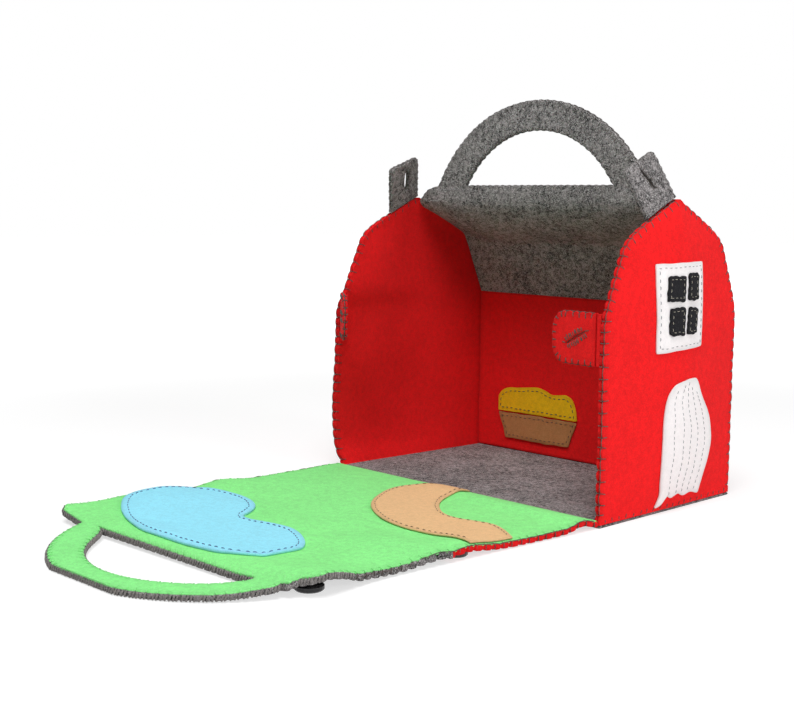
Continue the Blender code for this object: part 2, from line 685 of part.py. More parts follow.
def build_side_tabs():
    """Red tabs folded into the barn, each behind a rolled seam on the gable's inner face."""
    for word, side, angle in (("right", 1, RIGHT_TAB_FOLD), ("left", -1, LEFT_TAB_FOLD)):
        basis = Matrix(((0, 0, side, 0), (0, -1, 0, 0), (side, 0, 0, 0), (0, 0, 0, 1)))
        place = Matrix.Translation((side * SIDE_TAB_X, SIDE_TAB_Y, SIDE_TAB_CENTRE))
        hinge = fold(f"{word}_side_tab_fold", place @ Matrix.Rotation(-side * angle, 4, "Z") @ basis)
        shape = (SIDE_TAB_HEIGHT, SIDE_TAB_ROOT, SIDE_TAB_LENGTH, SIDE_TAB_ROUNDING)
        build_tab(f"{word}_side_tab", hinge, *shape, RED)
        radius = SIDE_TAB_ROOT - GAP
        low = acos(TAB_PANEL / radius)
        angles = [low + (pi / 2 - low) * k / CORNER_STEPS for k in range(CORNER_STEPS + 1)]
        roll = [(-side * radius * sin(a), -radius * cos(a)) for a in angles]
        roll += [(-side * 2 * GAP, 0), (-side * 2 * GAP, -TAB_PANEL)]
        seat = fold(f"{word}_side_seam_seat", place)
        piece(f"{word}_side_tab_seam", slab(roll, -SIDE_TAB_HEIGHT / 2, SIDE_TAB_HEIGHT / 2), RED, seat)


def build_peak_tabs():
    """Grey tabs that stand on the front upper slopes and lean inward."""
    for word, side, lean in (("right", 1, RIGHT_PEAK_TAB_LEAN), ("left", -1, LEFT_PEAK_TAB_LEAN)):
        along = Vector((0, SLOPE_WAY.x, SLOPE_WAY.y))
        outward = Vector((0, -SLOPE_WAY.y, SLOPE_WAY.x))
        basis = Matrix.Identity(4)
        for column, axis in enumerate((side * along, outward, Vector((side, 0, 0)))):
            for row in range(3):
                basis[row][column] = axis[row]
        place = Matrix.Translation((side * PEAK_TAB_X, PEAK_TAB_FOOT.x, PEAK_TAB_FOOT.y))
        hinge = fold(f"{word}_peak_tab_fold", place @ Matrix.Rotation(-side * lean, 4, along) @ basis)
        shape = (PEAK_TAB_WIDTH, PEAK_TAB_SEAT, PEAK_TAB_LENGTH, PEAK_TAB_ROUNDING)
        build_tab(f"{word}_peak_tab", hinge, *shape, GREY)


def build():
    for old in list(bpy.data.objects):
        bpy.data.objects.remove(old, do_unlink=True)
    build_floor()
    build_gables()
    build_back()
    build_back_handle()
    build_window()
    build_door()
    build_feed()
    build_front()
    build_side_tabs()
    build_peak_tabs()


build()
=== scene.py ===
# %% [markdown]
# # A felt barn that folds down into a play mat
# The real toy is cut from craft felt, two layers to a panel, and sewn by hand with blanket stitches.
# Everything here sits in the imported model's own frame, so that each sewn piece can stand in the
# place of the plain solid that holds its room.

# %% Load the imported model
import bpy
import numpy as np
from math import atan2, cos, pi, radians, sin, sqrt
from mathutils import Matrix, Vector


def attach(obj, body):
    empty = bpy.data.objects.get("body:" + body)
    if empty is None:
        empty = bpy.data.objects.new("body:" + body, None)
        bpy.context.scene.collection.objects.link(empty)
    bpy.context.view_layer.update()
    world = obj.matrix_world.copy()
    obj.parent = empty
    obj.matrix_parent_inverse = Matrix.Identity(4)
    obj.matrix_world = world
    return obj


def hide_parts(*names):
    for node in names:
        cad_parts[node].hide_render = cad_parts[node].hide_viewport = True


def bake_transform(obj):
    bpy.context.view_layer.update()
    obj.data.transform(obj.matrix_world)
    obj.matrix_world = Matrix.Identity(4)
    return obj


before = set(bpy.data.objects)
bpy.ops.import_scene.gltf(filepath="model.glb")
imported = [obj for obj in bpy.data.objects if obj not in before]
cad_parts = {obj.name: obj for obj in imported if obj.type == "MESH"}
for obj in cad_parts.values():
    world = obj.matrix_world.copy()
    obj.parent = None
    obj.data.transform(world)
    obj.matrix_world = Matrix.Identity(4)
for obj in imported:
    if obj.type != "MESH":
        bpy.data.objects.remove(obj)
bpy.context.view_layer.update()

# %% [markdown]
# ## The barn's own measures
# All lengths below are millimetres, turned into metres only when a mesh is written. The barn is a
# house-shaped gable on each side, a back wall that bends over into a roof, and a front that lies
# open on the table as four hinged panels.

# %% Measures of the barn
LAYER = 2.0            # thickness of one felt layer
SEAM = 0.3             # air between two layers
BOARD = 4.3            # two layers and the air between them
PATCH = 1.2            # thickness of the felt pictures
PATCH_HALF = PATCH / 2
PITCH = 7.6            # distance between two blanket stitches
HALF_DEPTH = 78        # half the barn's depth
EAVE, KNEE, PEAK = 137, 188, 215     # heights where the wall ends, the roof bends and the gable ends
HEIGHTS = [0, EAVE, KNEE, PEAK]
FRONT_YS, BACK_YS = [-78, -78, -56, 0], [78, 78, 56, 1]
TENT_SOFT = 0.15       # how round the top of a gable's tent is


def half_outer(y):
    """Half the barn's width over its outer felt at depth y: the front stands 4 mm wider than the back."""
    return 126 + 4 * (HALF_DEPTH - y) / (2 * HALF_DEPTH)


def half_inner(y):
    return half_outer(y) - BOARD - SEAM


def eased(z, ys, beyond):
    """The straight runs between the corners, averaged over 14 mm of height, so that each corner is
    round. beyond is where the last run would be at a height of 240."""
    steps = (-7, -3.5, 0, 3.5, 7)
    return sum(np.interp(z + step, HEIGHTS + [240], ys + [beyond]) for step in steps) / len(steps)


def gable_front(z):
    return eased(z, FRONT_YS, 51.9)


def gable_outer_back(z):
    """The outer felt's back edge stands 0.4 mm proud of the roof's line."""
    return eased(z, BACK_YS, -50) + 0.4


def gable_back(z):
    """The lining's back edge lies under the roof felt, 2.3 mm further in, and fills out at the peak."""
    seat = np.interp(z, [0, 136.525, 186.3, 212.93], [75.7, 75.7, 54.228, -1.0])
    roof = np.interp(z, HEIGHTS, [78, 78, 56, 0])
    return np.maximum(seat, np.minimum(roof, 4.6))


def crease(y, z, reach):
    """A gable stands out most on its centre line: reach times a rounded tent across the depth,
    times one minus the fourth power of the height measured from the middle."""
    share = np.clip((y - gable_front(z)) / (gable_back(z) - gable_front(z)), 0, 1)
    ramp = np.sqrt((2 * share - 1) ** 2 + TENT_SOFT ** 2) - TENT_SOFT
    tent = 1 - ramp / (sqrt(1 + TENT_SOFT ** 2) - TENT_SOFT)
    return reach * tent * (1 - (2 * np.clip(z, 0, PEAK) / PEAK - 1) ** 4)


print("gable:", round(float(gable_back(60) - gable_front(60)), 1), "mm deep, creased out", crease(0.0, 107.5, 10))

# %% [markdown]
# ## Curves and unevenness
# Hand-cut felt has no ruler-straight line in it. Three small tools make that: an even walk along a
# drawn line, a smooth curve through a few points, and a ripple that bends large faces a little.

# %% Lines and ripples
def spaced(points, step):
    """Points about step apart along a polyline. Its corners stay."""
    points = np.asarray(points, float)
    gaps = np.hypot(*np.diff(points, axis=0).T)
    counts = np.maximum(1, np.round(gaps / step)).astype(int)
    marks = np.concatenate([[0], np.cumsum(counts)])
    at = np.arange(marks[-1] + 1)
    return np.stack([np.interp(at, marks, points[:, k]) for k in (0, 1)], axis=1)


def curved(points, closed=False, fine=10):
    """The curve through the points: each stretch is a cubic whose slope at a point is half the step
    between that point's neighbours."""
    p = np.asarray(points, float)
    if closed:
        a, b, c, d = np.roll(p, 1, 0), p, np.roll(p, -1, 0), np.roll(p, -2, 0)
    else:
        padded = np.concatenate([p[:1], p, p[-1:]])
        a, b, c, d = padded[:-3], padded[1:-2], padded[2:-1], padded[3:]
    t = (np.arange(fine) / fine)[None, :, None]
    a, b, c, d = (x[:, None, :] for x in (a, b, c, d))
    curve = b + (c - a) * t / 2 + (2 * a - 5 * b + 4 * c - d) * t ** 2 / 2 + (3 * b - a - 3 * c + d) * t ** 3 / 2
    return np.concatenate([curve.reshape(-1, 2), p[:1] if closed else p[-1:]])


def measured(line):
    """The distance walked along a line up to each of its points."""
    return np.concatenate([[0], np.cumsum(np.hypot(*np.diff(line, axis=0).T))])


def at_distance(line, s):
    walked = measured(line)
    return np.stack([np.interp(s, walked, line[:, k]) for k in (0, 1)], axis=-1)


def evenly(line, count):
    return at_distance(line, np.linspace(0, measured(line)[-1], count))


def outward(line, s):
    """The unit vector to the right of the line at distance s, which is outward on a counter-clockwise
    outline."""
    ahead = at_distance(line, s + 0.6) - at_distance(line, s - 0.6)
    ahead /= np.maximum(np.linalg.norm(ahead, axis=-1, keepdims=True), 1e-9)
    return np.stack([ahead[..., 1], -ahead[..., 0]], axis=-1)


def smooth(value, low, high):
    """0 below low, 1 above high, and 3 t^2 - 2 t^3 between them."""
    t = np.clip((value - low) / (high - low), 0, 1)
    return t * t * (3 - 2 * t)


def bell(value, centre, width):
    """exp(-((value - centre) / width)^2): 1 at the centre, next to nothing two widths away."""
    return np.exp(-((value - centre) / width) ** 2)


def ripple(u, v, size, seed):
    """Five sine waves in seeded directions, of about the given length, added up to stay within one."""
    dice = np.random.default_rng(seed)
    turns, stretches, phases = dice.uniform(0, pi, 5), dice.uniform(0.6, 1.6, 5), dice.uniform(0, 6, 5)
    total = 0
    for turn, stretch, phase in zip(turns, stretches, phases):
        total = total + np.sin((u * cos(turn) + v * sin(turn)) * 2 * pi / (size * stretch) + phase)
    return total / 5


def arch(width, rise, foot, count):
    """A circular arc over a chord, from its right end to its left: radius (rise^2 + (width/2)^2) / 2 rise."""
    radius = (rise ** 2 + width ** 2 / 4) / (2 * rise)
    a = np.linspace(1, -1, count) * atan2(width / 2, radius - rise)
    return np.stack([radius * np.sin(a), foot + radius * np.cos(a) - radius + rise], axis=1)


print("an arch over 200 mm, 60 mm high, peaks at", arch(200, 60, 0, 3)[1].round(1))

# %% [markdown]
# ## Where a flat cut comes to lie
# Each panel is worked out flat, as it was cut, with a height h over its base face. A place function
# then lays it in the room: on a creased gable, along the bent back, or over the folds of the open mat.

# %% Places of the barn's body
LEFT_BOW = curved([(0, -5), (10, 1), (22, 6.5), (50, 8.7), (83, 6.6), (104, 5.8), (126, 4), (141, -0.8),
                   (165, -1), (215, 0)])


def on_gable(side, reach):
    """x = half width + crease + h, and on the left gable a slack front edge that bows outward."""
    def place(y, z, h):
        uneven = 0.5 * ripple(y, z, 55, 3 + side) * np.sin(pi * np.clip(z / PEAK, 0, 1))
        x = half_outer(y) + crease(y, z, reach) + h + uneven
        if side < 0:
            front = np.clip((HALF_DEPTH - y) / (2 * HALF_DEPTH), 0, 1)
            x = x + np.interp(z, LEFT_BOW[:, 0], LEFT_BOW[:, 1]) * front ** 1.5
        return np.stack([side * x, y + 0 * x, z + 0 * x], axis=-1)
    return place


def standing(x, z, h):
    """The back wall: h is measured from its outer face towards the outside."""
    bow = 0.7 * ripple(x, z, 90, 8) * np.sin(pi * np.clip(z / EAVE, 0, 1)) - 0.3
    return np.stack([x, HALF_DEPTH + h + bow, z + 0 * x], axis=-1)


TIGHT = curved([(78, 137), (75.6, 143), (67.5, 161.5), (59, 181), (54.4, 188.2), (46, 193.2), (26, 202.8),
                (12, 208.6), (6.4, 211), (4.6, 214), (4.35, 217), (4.35, 221.5)])
HUNG = curved([(78, 137), (73.5, 147), (67.5, 158.5), (62.3, 169), (58, 177.5), (53.5, 183.4), (45, 187.6),
               (33, 191.4), (22, 196), (13, 201.2), (7.4, 206.4), (4.9, 211), (4.35, 215.5), (4.35, 221.5)])
ROOF_LONG = measured(TIGHT)[-1]
RIDGE_AT = ROOF_LONG - 10.5          # where the sheet reaches the ridge, on its way up behind the handle


def on_back_roof(x, d, h):
    """d runs up the sheet. Along the gables it follows TIGHT, and 3 cm further in it hangs along HUNG,
    whose soft crease drops a little towards the right. h stands square on the mix of the two."""
    x, d, h = np.broadcast_arrays(x, d, h)
    share = np.clip(d / ROOF_LONG, 0, 1)
    slid = np.clip(share + 0.0006 * (x + 60) * np.sin(pi * share), 0, 1)
    slack = (np.clip((121 - abs(x)) / 32, 0, 1) ** 0.8)[..., None]
    near, far = share * ROOF_LONG, slid * measured(HUNG)[-1]
    spot = at_distance(TIGHT, near) * (1 - slack) + at_distance(HUNG, far) * slack
    way = outward(TIGHT, near) * (1 - slack) + outward(HUNG, far) * slack
    way = way / np.linalg.norm(way, axis=-1, keepdims=True)
    wave = -0.8 * (1 + ripple(x, d, 60, 5)) * np.sin(pi * np.clip(d / RIDGE_AT, 0, 1)) * slack[..., 0]
    spot = spot + way * (h + wave)[..., None]
    return np.stack([x, spot[..., 0], spot[..., 1]], axis=-1)


def upright(x, z, h):
    """The back handle: h is y itself, and the top of the arch leans and waves a little."""
    lift = np.clip((z - 222) / 60, 0, 1)
    return np.stack([x + 0 * z, h + lift * (1.2 * ripple(x, z, 70, 9) - 1.0), z + 0 * x], axis=-1)


def lying(x, y, h):
    return np.stack([x, y, h + 0 * x], axis=-1)


# %% [markdown]
# ## The open mat
# The mat is the barn's front: wall, steep slope, shallow slope and handle, in one line over the
# table. One distance d runs from the floor's edge to the handle's tip. Near the ridge the mat lies
# a little askew, as the real one does after it was thrown open.

# %% Places on the mat
WALL_END, KNEE_END, RIDGE, TIP = 131.762, 187.479, 246.871, 315.482
MAT_DS = [0, WALL_END, KNEE_END, RIDGE, TIP]
MAT_YS = [-78.3, -210.009, -265.724, -325.23, -393.7]
MAT_ZS = [5.3, 9.04, 8.703, 8.34, 4.9]
MAT_CORNERS = [0, 25, 95, WALL_END, KNEE_END, RIDGE]
MAT_EDGE = 123.81      # half the mat's width past the knee
FLAT = 4.9             # height of the mat's face where it lies on the table
RUNS = [-1, WALL_END - 5, WALL_END + 5, RIDGE - 6, RIDGE + 6, TIP]
PITCHES = [0.0284, 0.0284, -0.0061, -0.0061, -0.0589, -0.0589]     # slope at each of RUNS, in radians
ASKEW, DRIFT = radians(3.4), 7.5     # how far the mat turns and moves aside by the ridge
TURN_BACK, SHIFT = radians(2.2), 12  # how far the handle turns back past the ridge, and moves on
RIDGE_Y = -325


def on_mat(x, d, h):
    """y and z follow the mat's line at distance d, and h stands square on it. Where nothing holds the mat
    up, it sinks to FLAT over the table, so the height is line + (FLAT - line) (1 - held). To that come a
    ripple, a bulge next to the floor, a dip of the handle and the lifted corners at the ridge. Towards
    the ridge each point is turned and moved aside, and past it turned back a little and moved on."""
    pitch, line = np.interp(d, RUNS, PITCHES), np.interp(d, MAT_DS, MAT_ZS)
    at_hinge, at_ridge = 1 - smooth(d, 0, 32), smooth(d, RIDGE - 34, RIDGE - 8)
    near_edge = smooth(x, 30, 95) * (smooth(d, 118, 142) - 0.75 * bell(d, 178, 26))
    far_edge = smooth(-x, 40, 100) * smooth(d, 135, 175)
    over_buttons = bell(abs(x), 115, 22) * bell(d, 118, 20)
    held = np.maximum.reduce(np.broadcast_arrays(at_hinge, at_ridge, near_edge, far_edge, over_buttons))
    waves = 0.5 * (1 + ripple(x, d, 75, 21)) * smooth(d, 0, 30) * (1 - smooth(d, RIDGE - 40, RIDGE - 10))
    bulge = 2.6 * bell(d, 15, 10) * smooth(x, -60, 20)
    dip = (2.0 + 0.01 * x) * np.interp(d, [RIDGE - 8, RIDGE + 6, TIP - 4, TIP], [0, 0.85, 0.15, 0])
    left_curl = 3 * np.clip((-x - 96) / 28, 0, 1) ** 2 * np.clip(1 - abs(d - 240) / 26, 0, 1) ** 1.5
    right_curl = 6.5 * np.clip((x - 58) / 66, 0, 1) ** 1.3 * np.clip(1 - ((d - 246) / 40) ** 2, 0, 1) ** 1.5
    lift = (FLAT - line) * (1 - held) + waves + bulge - dip
    y = np.interp(d, MAT_DS, MAT_YS) - h * np.sin(pitch)
    z = line + h * np.cos(pitch) + lift + (left_curl + right_curl)
    near_ridge, past_ridge = smooth(d, 170, 250), smooth(d, RIDGE - 2, RIDGE + 10)
    turn, out = ASKEW * near_ridge - TURN_BACK * past_ridge, -(y - RIDGE_Y)
    return np.stack([x * np.cos(turn) + out * np.sin(turn) + DRIFT * near_ridge + SHIFT * past_ridge,
                     RIDGE_Y + x * np.sin(turn) - out * np.cos(turn), z], axis=-1)


def mat_half(d):
    """Half the mat's width: it narrows twice, where the felt is pulled together by its seam."""
    return np.interp(d, MAT_CORNERS, [129.2, 128.6, 125.4, 125.4, MAT_EDGE, MAT_EDGE])


print("mat:", TIP, "mm from the floor's edge to the handle's tip")

# %% [markdown]
# ## Stitch marks
# A blanket stitch pulls the edge in where it passes over, and the felt swells between two stitches.
# So the stitches are planned first. Both the felt's edge and the thread read the same plan.

# %% Plan the stitches along an edge
def stitch_marks(line, seed, pitch=PITCH, closed=False):
    """Distances along the line, pitch apart, each moved by up to a tenth of the pitch."""
    length = measured(line)[-1]
    count = max(2, round(length / pitch))
    start = 0 if closed else 0.5
    marks = (np.arange(count) + start) * length / count
    return np.clip(marks + np.random.default_rng(seed).uniform(-0.1, 0.1, count) * pitch, 0, length)


def pulled(points, seams):
    """How strongly each point is pulled in: a bell curve of its distance to the nearest stitch, and a
    little less than nothing between two stitches, where the felt swells out."""
    if not seams:
        return np.zeros(len(points))
    marks = np.concatenate([at_distance(line, stitch_marks(line, *plan)) for line, *plan in seams])
    nearest = np.full(len(points), 1e9)
    for part in np.array_split(marks, max(1, len(marks) // 64)):
        nearest = np.minimum(nearest, np.hypot(*(points[:, None, :] - part[None]).transpose(2, 0, 1)).min(axis=1))
    close = np.exp(-(nearest / 1.5) ** 2)
    return close - 0.5 * np.exp(-(nearest / 6) ** 2) * (1 - close)


# %% [markdown]
# ## A felt panel as two joined faces
# A cut of felt is two faces that meet in a soft round edge. Each is the same grid of points, once
# with +thickness/2 and once with -thickness/2, and the edge is where that thickness falls to zero
# along a quarter circle. The grid can run between two edges, out from a middle, or round a hole.

# %% Write a closed felt mesh
def tidy_faces(quads):
    """Quads with two neighbouring corners the same become triangles."""
    same = quads == np.roll(quads, -1, axis=1)
    whole = quads[~same.any(axis=1)]
    pinched, where = quads[same.any(axis=1)], same[same.any(axis=1)]
    keep = np.arange(4)[None, :] != where.argmax(axis=1)[:, None]
    return whole, pinched[keep].reshape(-1, 3)


def write_mesh(name, points, faces, rim=None):
    """Keeps the points that the faces use, turns the faces outward by the sign of the volume, and
    writes the mesh in metres."""
    used, flat = np.unique(np.concatenate([f.ravel() for f in faces]), return_inverse=True)
    points = points.reshape(-1, 3)[used]
    cuts = np.cumsum([f.size for f in faces])[:-1]
    faces = [part.reshape(f.shape) for part, f in zip(np.split(flat, cuts), faces)]
    volume = 0.0
    for f in faces:
        for k in range(1, f.shape[1] - 1):
            a, b, c = points[f[:, 0]], points[f[:, k]], points[f[:, k + 1]]
            volume += np.einsum("ij,ij->", a, np.cross(b, c)) / 6
    if volume < 0:
        faces = [f[:, ::-1] for f in faces]
    mesh = bpy.data.meshes.new(name)
    mesh.from_pydata((points / 1000).tolist(), [], sum((f.tolist() for f in faces), []))
    mesh.shade_smooth()
    mesh.set_sharp_from_angle(angle=radians(55))
    if rim is not None:
        attribute = mesh.attributes.new("rim", "FLOAT", "POINT")
        attribute.data.foreach_set("value", rim.ravel()[used].astype(np.float32))
    piece = bpy.data.objects.new(name, mesh)
    bpy.context.scene.collection.objects.link(piece)
    return piece


def felt_mesh(name, u, v, full, rim, place, mid, half, kind):
    """u, v and full are grids: the flat place and the share of full thickness. kind is "panel" for a
    grid between two edges, "disc" for one round a middle and "ring" for one round a hole. mid is the
    height of the felt's middle and half its half thickness, as numbers or as grids."""
    points = np.concatenate([place(u, v, mid + full * half), place(u, v, mid - full * half)])
    rows, columns = u.shape
    top = np.arange(rows * columns).reshape(rows, columns)
    under = top + rows * columns
    if kind == "panel":
        under[:, [0, -1]] = top[:, [0, -1]]
    else:
        under[-1] = top[-1]
        if kind == "ring":
            under[0] = top[0]
        else:
            top[0], under[0] = top[0, 0], under[0, 0]
        top, under = (np.concatenate([g, g[:, :1]], axis=1) for g in (top, under))
    quads = [np.stack([top[:-1, :-1], top[1:, :-1], top[1:, 1:], top[:-1, 1:]], -1).reshape(-1, 4),
             np.stack([under[:-1, :-1], under[:-1, 1:], under[1:, 1:], under[1:, :-1]], -1).reshape(-1, 4)]
    if kind == "panel":
        quads.append(np.stack([top[0, :-1], top[0, 1:], under[0, 1:], under[0, :-1]], -1))
        quads.append(np.stack([top[-1, 1:], top[-1, :-1], under[-1, :-1], under[-1, 1:]], -1))
    whole, corners = tidy_faces(np.concatenate(quads))
    return write_mesh(name, points, [whole, corners], np.concatenate([rim, rim]))


# %% [markdown]
# ## Three ways to fill an outline
# The gables, walls and roof slopes are strips between a left and a right edge. The pictures are
# discs about a middle point. The handles and tabs run round a hole. All three use the same rows near
# an edge: four for the rounding, then wider and wider ones.

# %% Grids for a strip, a disc and a ring
ROUND = np.radians([0, 30, 60, 90])
EDGE_IN = np.concatenate([1 - np.cos(ROUND), [2.2, 4.0, 6.5, 9.5]])
EDGE_FULL = np.concatenate([np.sin(ROUND), [1, 1, 1, 1]])


def profile(reach, middle, edge):
    """Insets from one edge to the other of a cut that is reach wide, and the share of full thickness
    there, as (rows, points). reach is an array, one width for each point, and edge the radius of the
    edge's rounding."""
    scale = np.clip(reach / 24, 0.05, 1)[None, :]
    steps = np.where(EDGE_IN <= 1, EDGE_IN * edge, EDGE_IN)[:, None] * scale
    between = np.linspace(0, 1, middle + 2)[1:-1, None] * (reach[None, :] - 2 * steps[-1:]) + steps[-1:]
    full = np.concatenate([EDGE_FULL, np.ones(middle), EDGE_FULL[::-1]])[:, None] * np.ones(len(reach))
    return np.concatenate([steps, between, reach[None] - steps[::-1]]), full


def thinned(inset, reach, pull_a, pull_b):
    """A stitch presses the felt to 0.6 of its thickness, less and less over 2.6 mm."""
    near_a = np.exp(-inset / 2.6) * np.maximum(pull_a, 0)[None]
    near_b = np.exp(-(reach[None] - inset) / 2.6) * np.maximum(pull_b, 0)[None]
    return 1 - 0.4 * (near_a + near_b)


def strip(a, b, seams=(), middle=24, ends=(False, False), edge=LAYER / 2):
    """The grid between edge a and edge b, points in pairs. ends says which end is rounded as well: it
    gets three more columns, and then four columns step in from it as the rows do from the edges."""
    across = b - a
    across = across / np.linalg.norm(across, axis=1)[:, None]
    pull_a, pull_b = pulled(a, seams), pulled(b, seams)
    a, b = a + across * 1.1 * pull_a[:, None], b - across * 1.1 * pull_b[:, None]
    reach = np.linalg.norm(b - a, axis=1)
    inset, full = profile(reach, middle, edge)
    grid = a[None] + across[None] * inset[:, :, None]
    rim = np.exp(-np.minimum(inset, reach[None] - inset) / 3)
    full = full * thinned(inset, reach, pull_a, pull_b)
    index = [0] * (3 * ends[0]) + list(range(len(a))) + [-1] * (3 * ends[1])
    grid, full, rim = grid[:, index], full[:, index], rim[:, index]
    for end, first, step in zip(ends, (0, -1), (1, -1)):
        if end:
            start, inner = grid[:, first].copy(), grid[:, first + 4 * step]
            way = inner - start
            way = way / np.linalg.norm(way, axis=-1, keepdims=True)
            for k, angle in enumerate(ROUND):
                column = first + k * step
                grid[:, column] = start + way * edge * (1 - cos(angle))
                full[:, column] *= max(sin(angle), 0.3)
                rim[:, column] = 1
    return grid[..., 0].T, grid[..., 1].T, full.T, rim.T, "panel"


def disc(outline, centre, seams=(), middle=8, edge=0.3):
    """Rays from a centre to each point of a closed outline. A cut that isn't sewn over has a sharp edge."""
    outline = outline[:-1] if np.allclose(outline[0], outline[-1]) else outline
    ray = outline - np.asarray(centre, float)
    reach = np.linalg.norm(ray, axis=1)
    ray = ray / reach[:, None]
    pull = pulled(outline, seams)
    reach = reach - 0.5 * pull
    steps = profile(2 * reach, 0, edge)[0][:len(EDGE_IN)]
    inner = np.linspace(0, 1, middle + 1)[:-1, None] * (reach[None] - steps[-1:])
    radius = np.concatenate([inner, reach[None] - steps[::-1]])
    full = np.concatenate([np.ones(middle), EDGE_FULL[::-1]])[:, None] * np.ones(len(outline))
    full = full * (1 - 0.35 * np.exp(-(reach[None] - radius) / 2.6) * pull[None])
    grid = np.asarray(centre, float) + ray[None] * radius[:, :, None]
    return grid[..., 0], grid[..., 1], full, np.exp(-(reach[None] - radius) / 3), "disc"


def ring(inner, outer, seams=(), middle=8, edge=LAYER / 2, joined=None):
    """Rays from each point of a hole's outline to its partner on the outer outline. joined marks the
    partners that lie under a neighbouring cut, which have no rim of their own."""
    ray = outer - inner
    reach = np.linalg.norm(ray, axis=1)
    ray = ray / reach[:, None]
    pull_in, pull_out = pulled(inner, seams), pulled(outer, seams)
    inner, reach = inner + ray * 0.8 * pull_in[:, None], reach - 0.8 * (pull_in + pull_out)
    inset, full = profile(reach, middle, edge)
    grid = inner[None] + ray[None] * inset[:, :, None]
    to_edge = np.minimum(inset, reach[None] - inset)
    rim = np.exp(-(to_edge if joined is None else np.where(joined[None], inset, to_edge)) / 3)
    return grid[..., 0], grid[..., 1], full * thinned(inset, reach, pull_in, pull_out), rim, "ring"


tried = disc(arch(20, 9, 0, 40), (0, 4))
print("a disc's grid:", tried[0].shape)

# %% [markdown]
# ## Felt and thread as materials
# Felt is matted wool: short fibres lie in every direction, so it has no weave, a dull face and a
# soft cloudiness. Two stretched noises give the fibres, a fine one the grain and a wide one the
# clouds. One node group holds them, and each colour of felt places the group with its own values.

# %% Node helpers
def node(tree, kind, inputs=None, **settings):
    made = tree.nodes.new(kind)
    for key, value in settings.items():
        setattr(made, key, value)
    for key, value in (inputs or {}).items():
        if isinstance(value, bpy.types.NodeSocket):
            tree.links.new(value, made.inputs[key])
        else:
            made.inputs[key].default_value = value
    return made


def new_group(name, inputs, outputs):
    group = bpy.data.node_groups.new(name, "ShaderNodeTree")
    for word, kind, start in inputs:
        socket = group.interface.new_socket(word, in_out="INPUT", socket_type=kind)
        socket.default_value = start
    for word, kind in outputs:
        group.interface.new_socket(word, in_out="OUTPUT", socket_type=kind)
    return group, group.nodes.new("NodeGroupInput"), group.nodes.new("NodeGroupOutput")


def math(tree, operation, a, b=0.0, clamp=False):
    return node(tree, "ShaderNodeMath", {0: a, 1: b}, operation=operation, use_clamp=clamp).outputs[0]


def remap(tree, value, low, high, to_low=0.0, to_high=1.0):
    return node(tree, "ShaderNodeMapRange", {0: value, 1: low, 2: high, 3: to_low, 4: to_high},
                interpolation_type="SMOOTHSTEP").outputs[0]


def noise(tree, where, scale, detail, roughness=0.5, distortion=0.0):
    return node(tree, "ShaderNodeTexNoise", {"Vector": where, "Scale": scale, "Detail": detail,
                                             "Roughness": roughness, "Distortion": distortion}).outputs[0]


def mixed(tree, share, first, second):
    return node(tree, "ShaderNodeMix", {0: share, 6: first, 7: second}, data_type="RGBA").outputs[2]


def material(name, **values):
    """A material with constant values for its shader. The words of a value's name are joined by _."""
    made = bpy.data.materials.new(name)
    made.use_nodes = True
    shader = made.node_tree.nodes["Principled BSDF"]
    for key, value in values.items():
        shader.inputs[key.replace("_", " ")].default_value = value
    return made, made.node_tree, shader


def dress(tree, shader, colour, height, strength, distance):
    """Links a varying colour, and a bump that follows a varying height, to the shader."""
    tree.links.new(colour, shader.inputs["Base Color"])
    bump = node(tree, "ShaderNodeBump", {"Height": height, "Strength": strength, "Distance": distance})
    tree.links.new(bump.outputs[0], shader.inputs["Normal"])


# %% Felt fibres group
FIBRE_LAYS = [((0.5, 0.2, 0.9), (520, 2600, 1500)),      # turn and stretch of each lay of fibres
              ((0.1, 1.1, 2.3), (2800, 560, 1400)),
              ((1.3, 0.4, 0.3), (1500, 2400, 480))]
felt_group, given, taken = new_group(
    "matted felt",
    [("Colour", "NodeSocketColor", (0.5, 0.5, 0.5, 1)), ("Fleck colour", "NodeSocketColor", (1, 1, 1, 1)),
     ("Fleck", "NodeSocketFloat", 0.2), ("Cloud", "NodeSocketFloat", 0.2), ("Rim", "NodeSocketFloat", 0.0)],
    [("Colour", "NodeSocketColor"), ("Height", "NodeSocketFloat")])
where = node(felt_group, "ShaderNodeTexCoord").outputs["Object"]
fibres = []
for turn, stretch in FIBRE_LAYS:
    lay = node(felt_group, "ShaderNodeMapping", {"Vector": where, "Rotation": turn, "Scale": stretch})
    fibres.append(noise(felt_group, lay.outputs[0], 1.0, 2.0, distortion=0.6))
fibre = math(felt_group, "MAXIMUM", math(felt_group, "MAXIMUM", fibres[0], fibres[1]), fibres[2])
grain = noise(felt_group, where, 1100.0, 4.0, 0.65)
mott = noise(felt_group, where, 260.0, 3.0, 0.7)
cloud = noise(felt_group, where, 34.0, 3.0, 0.6)
print("felt layers:", len(fibres) + 3)

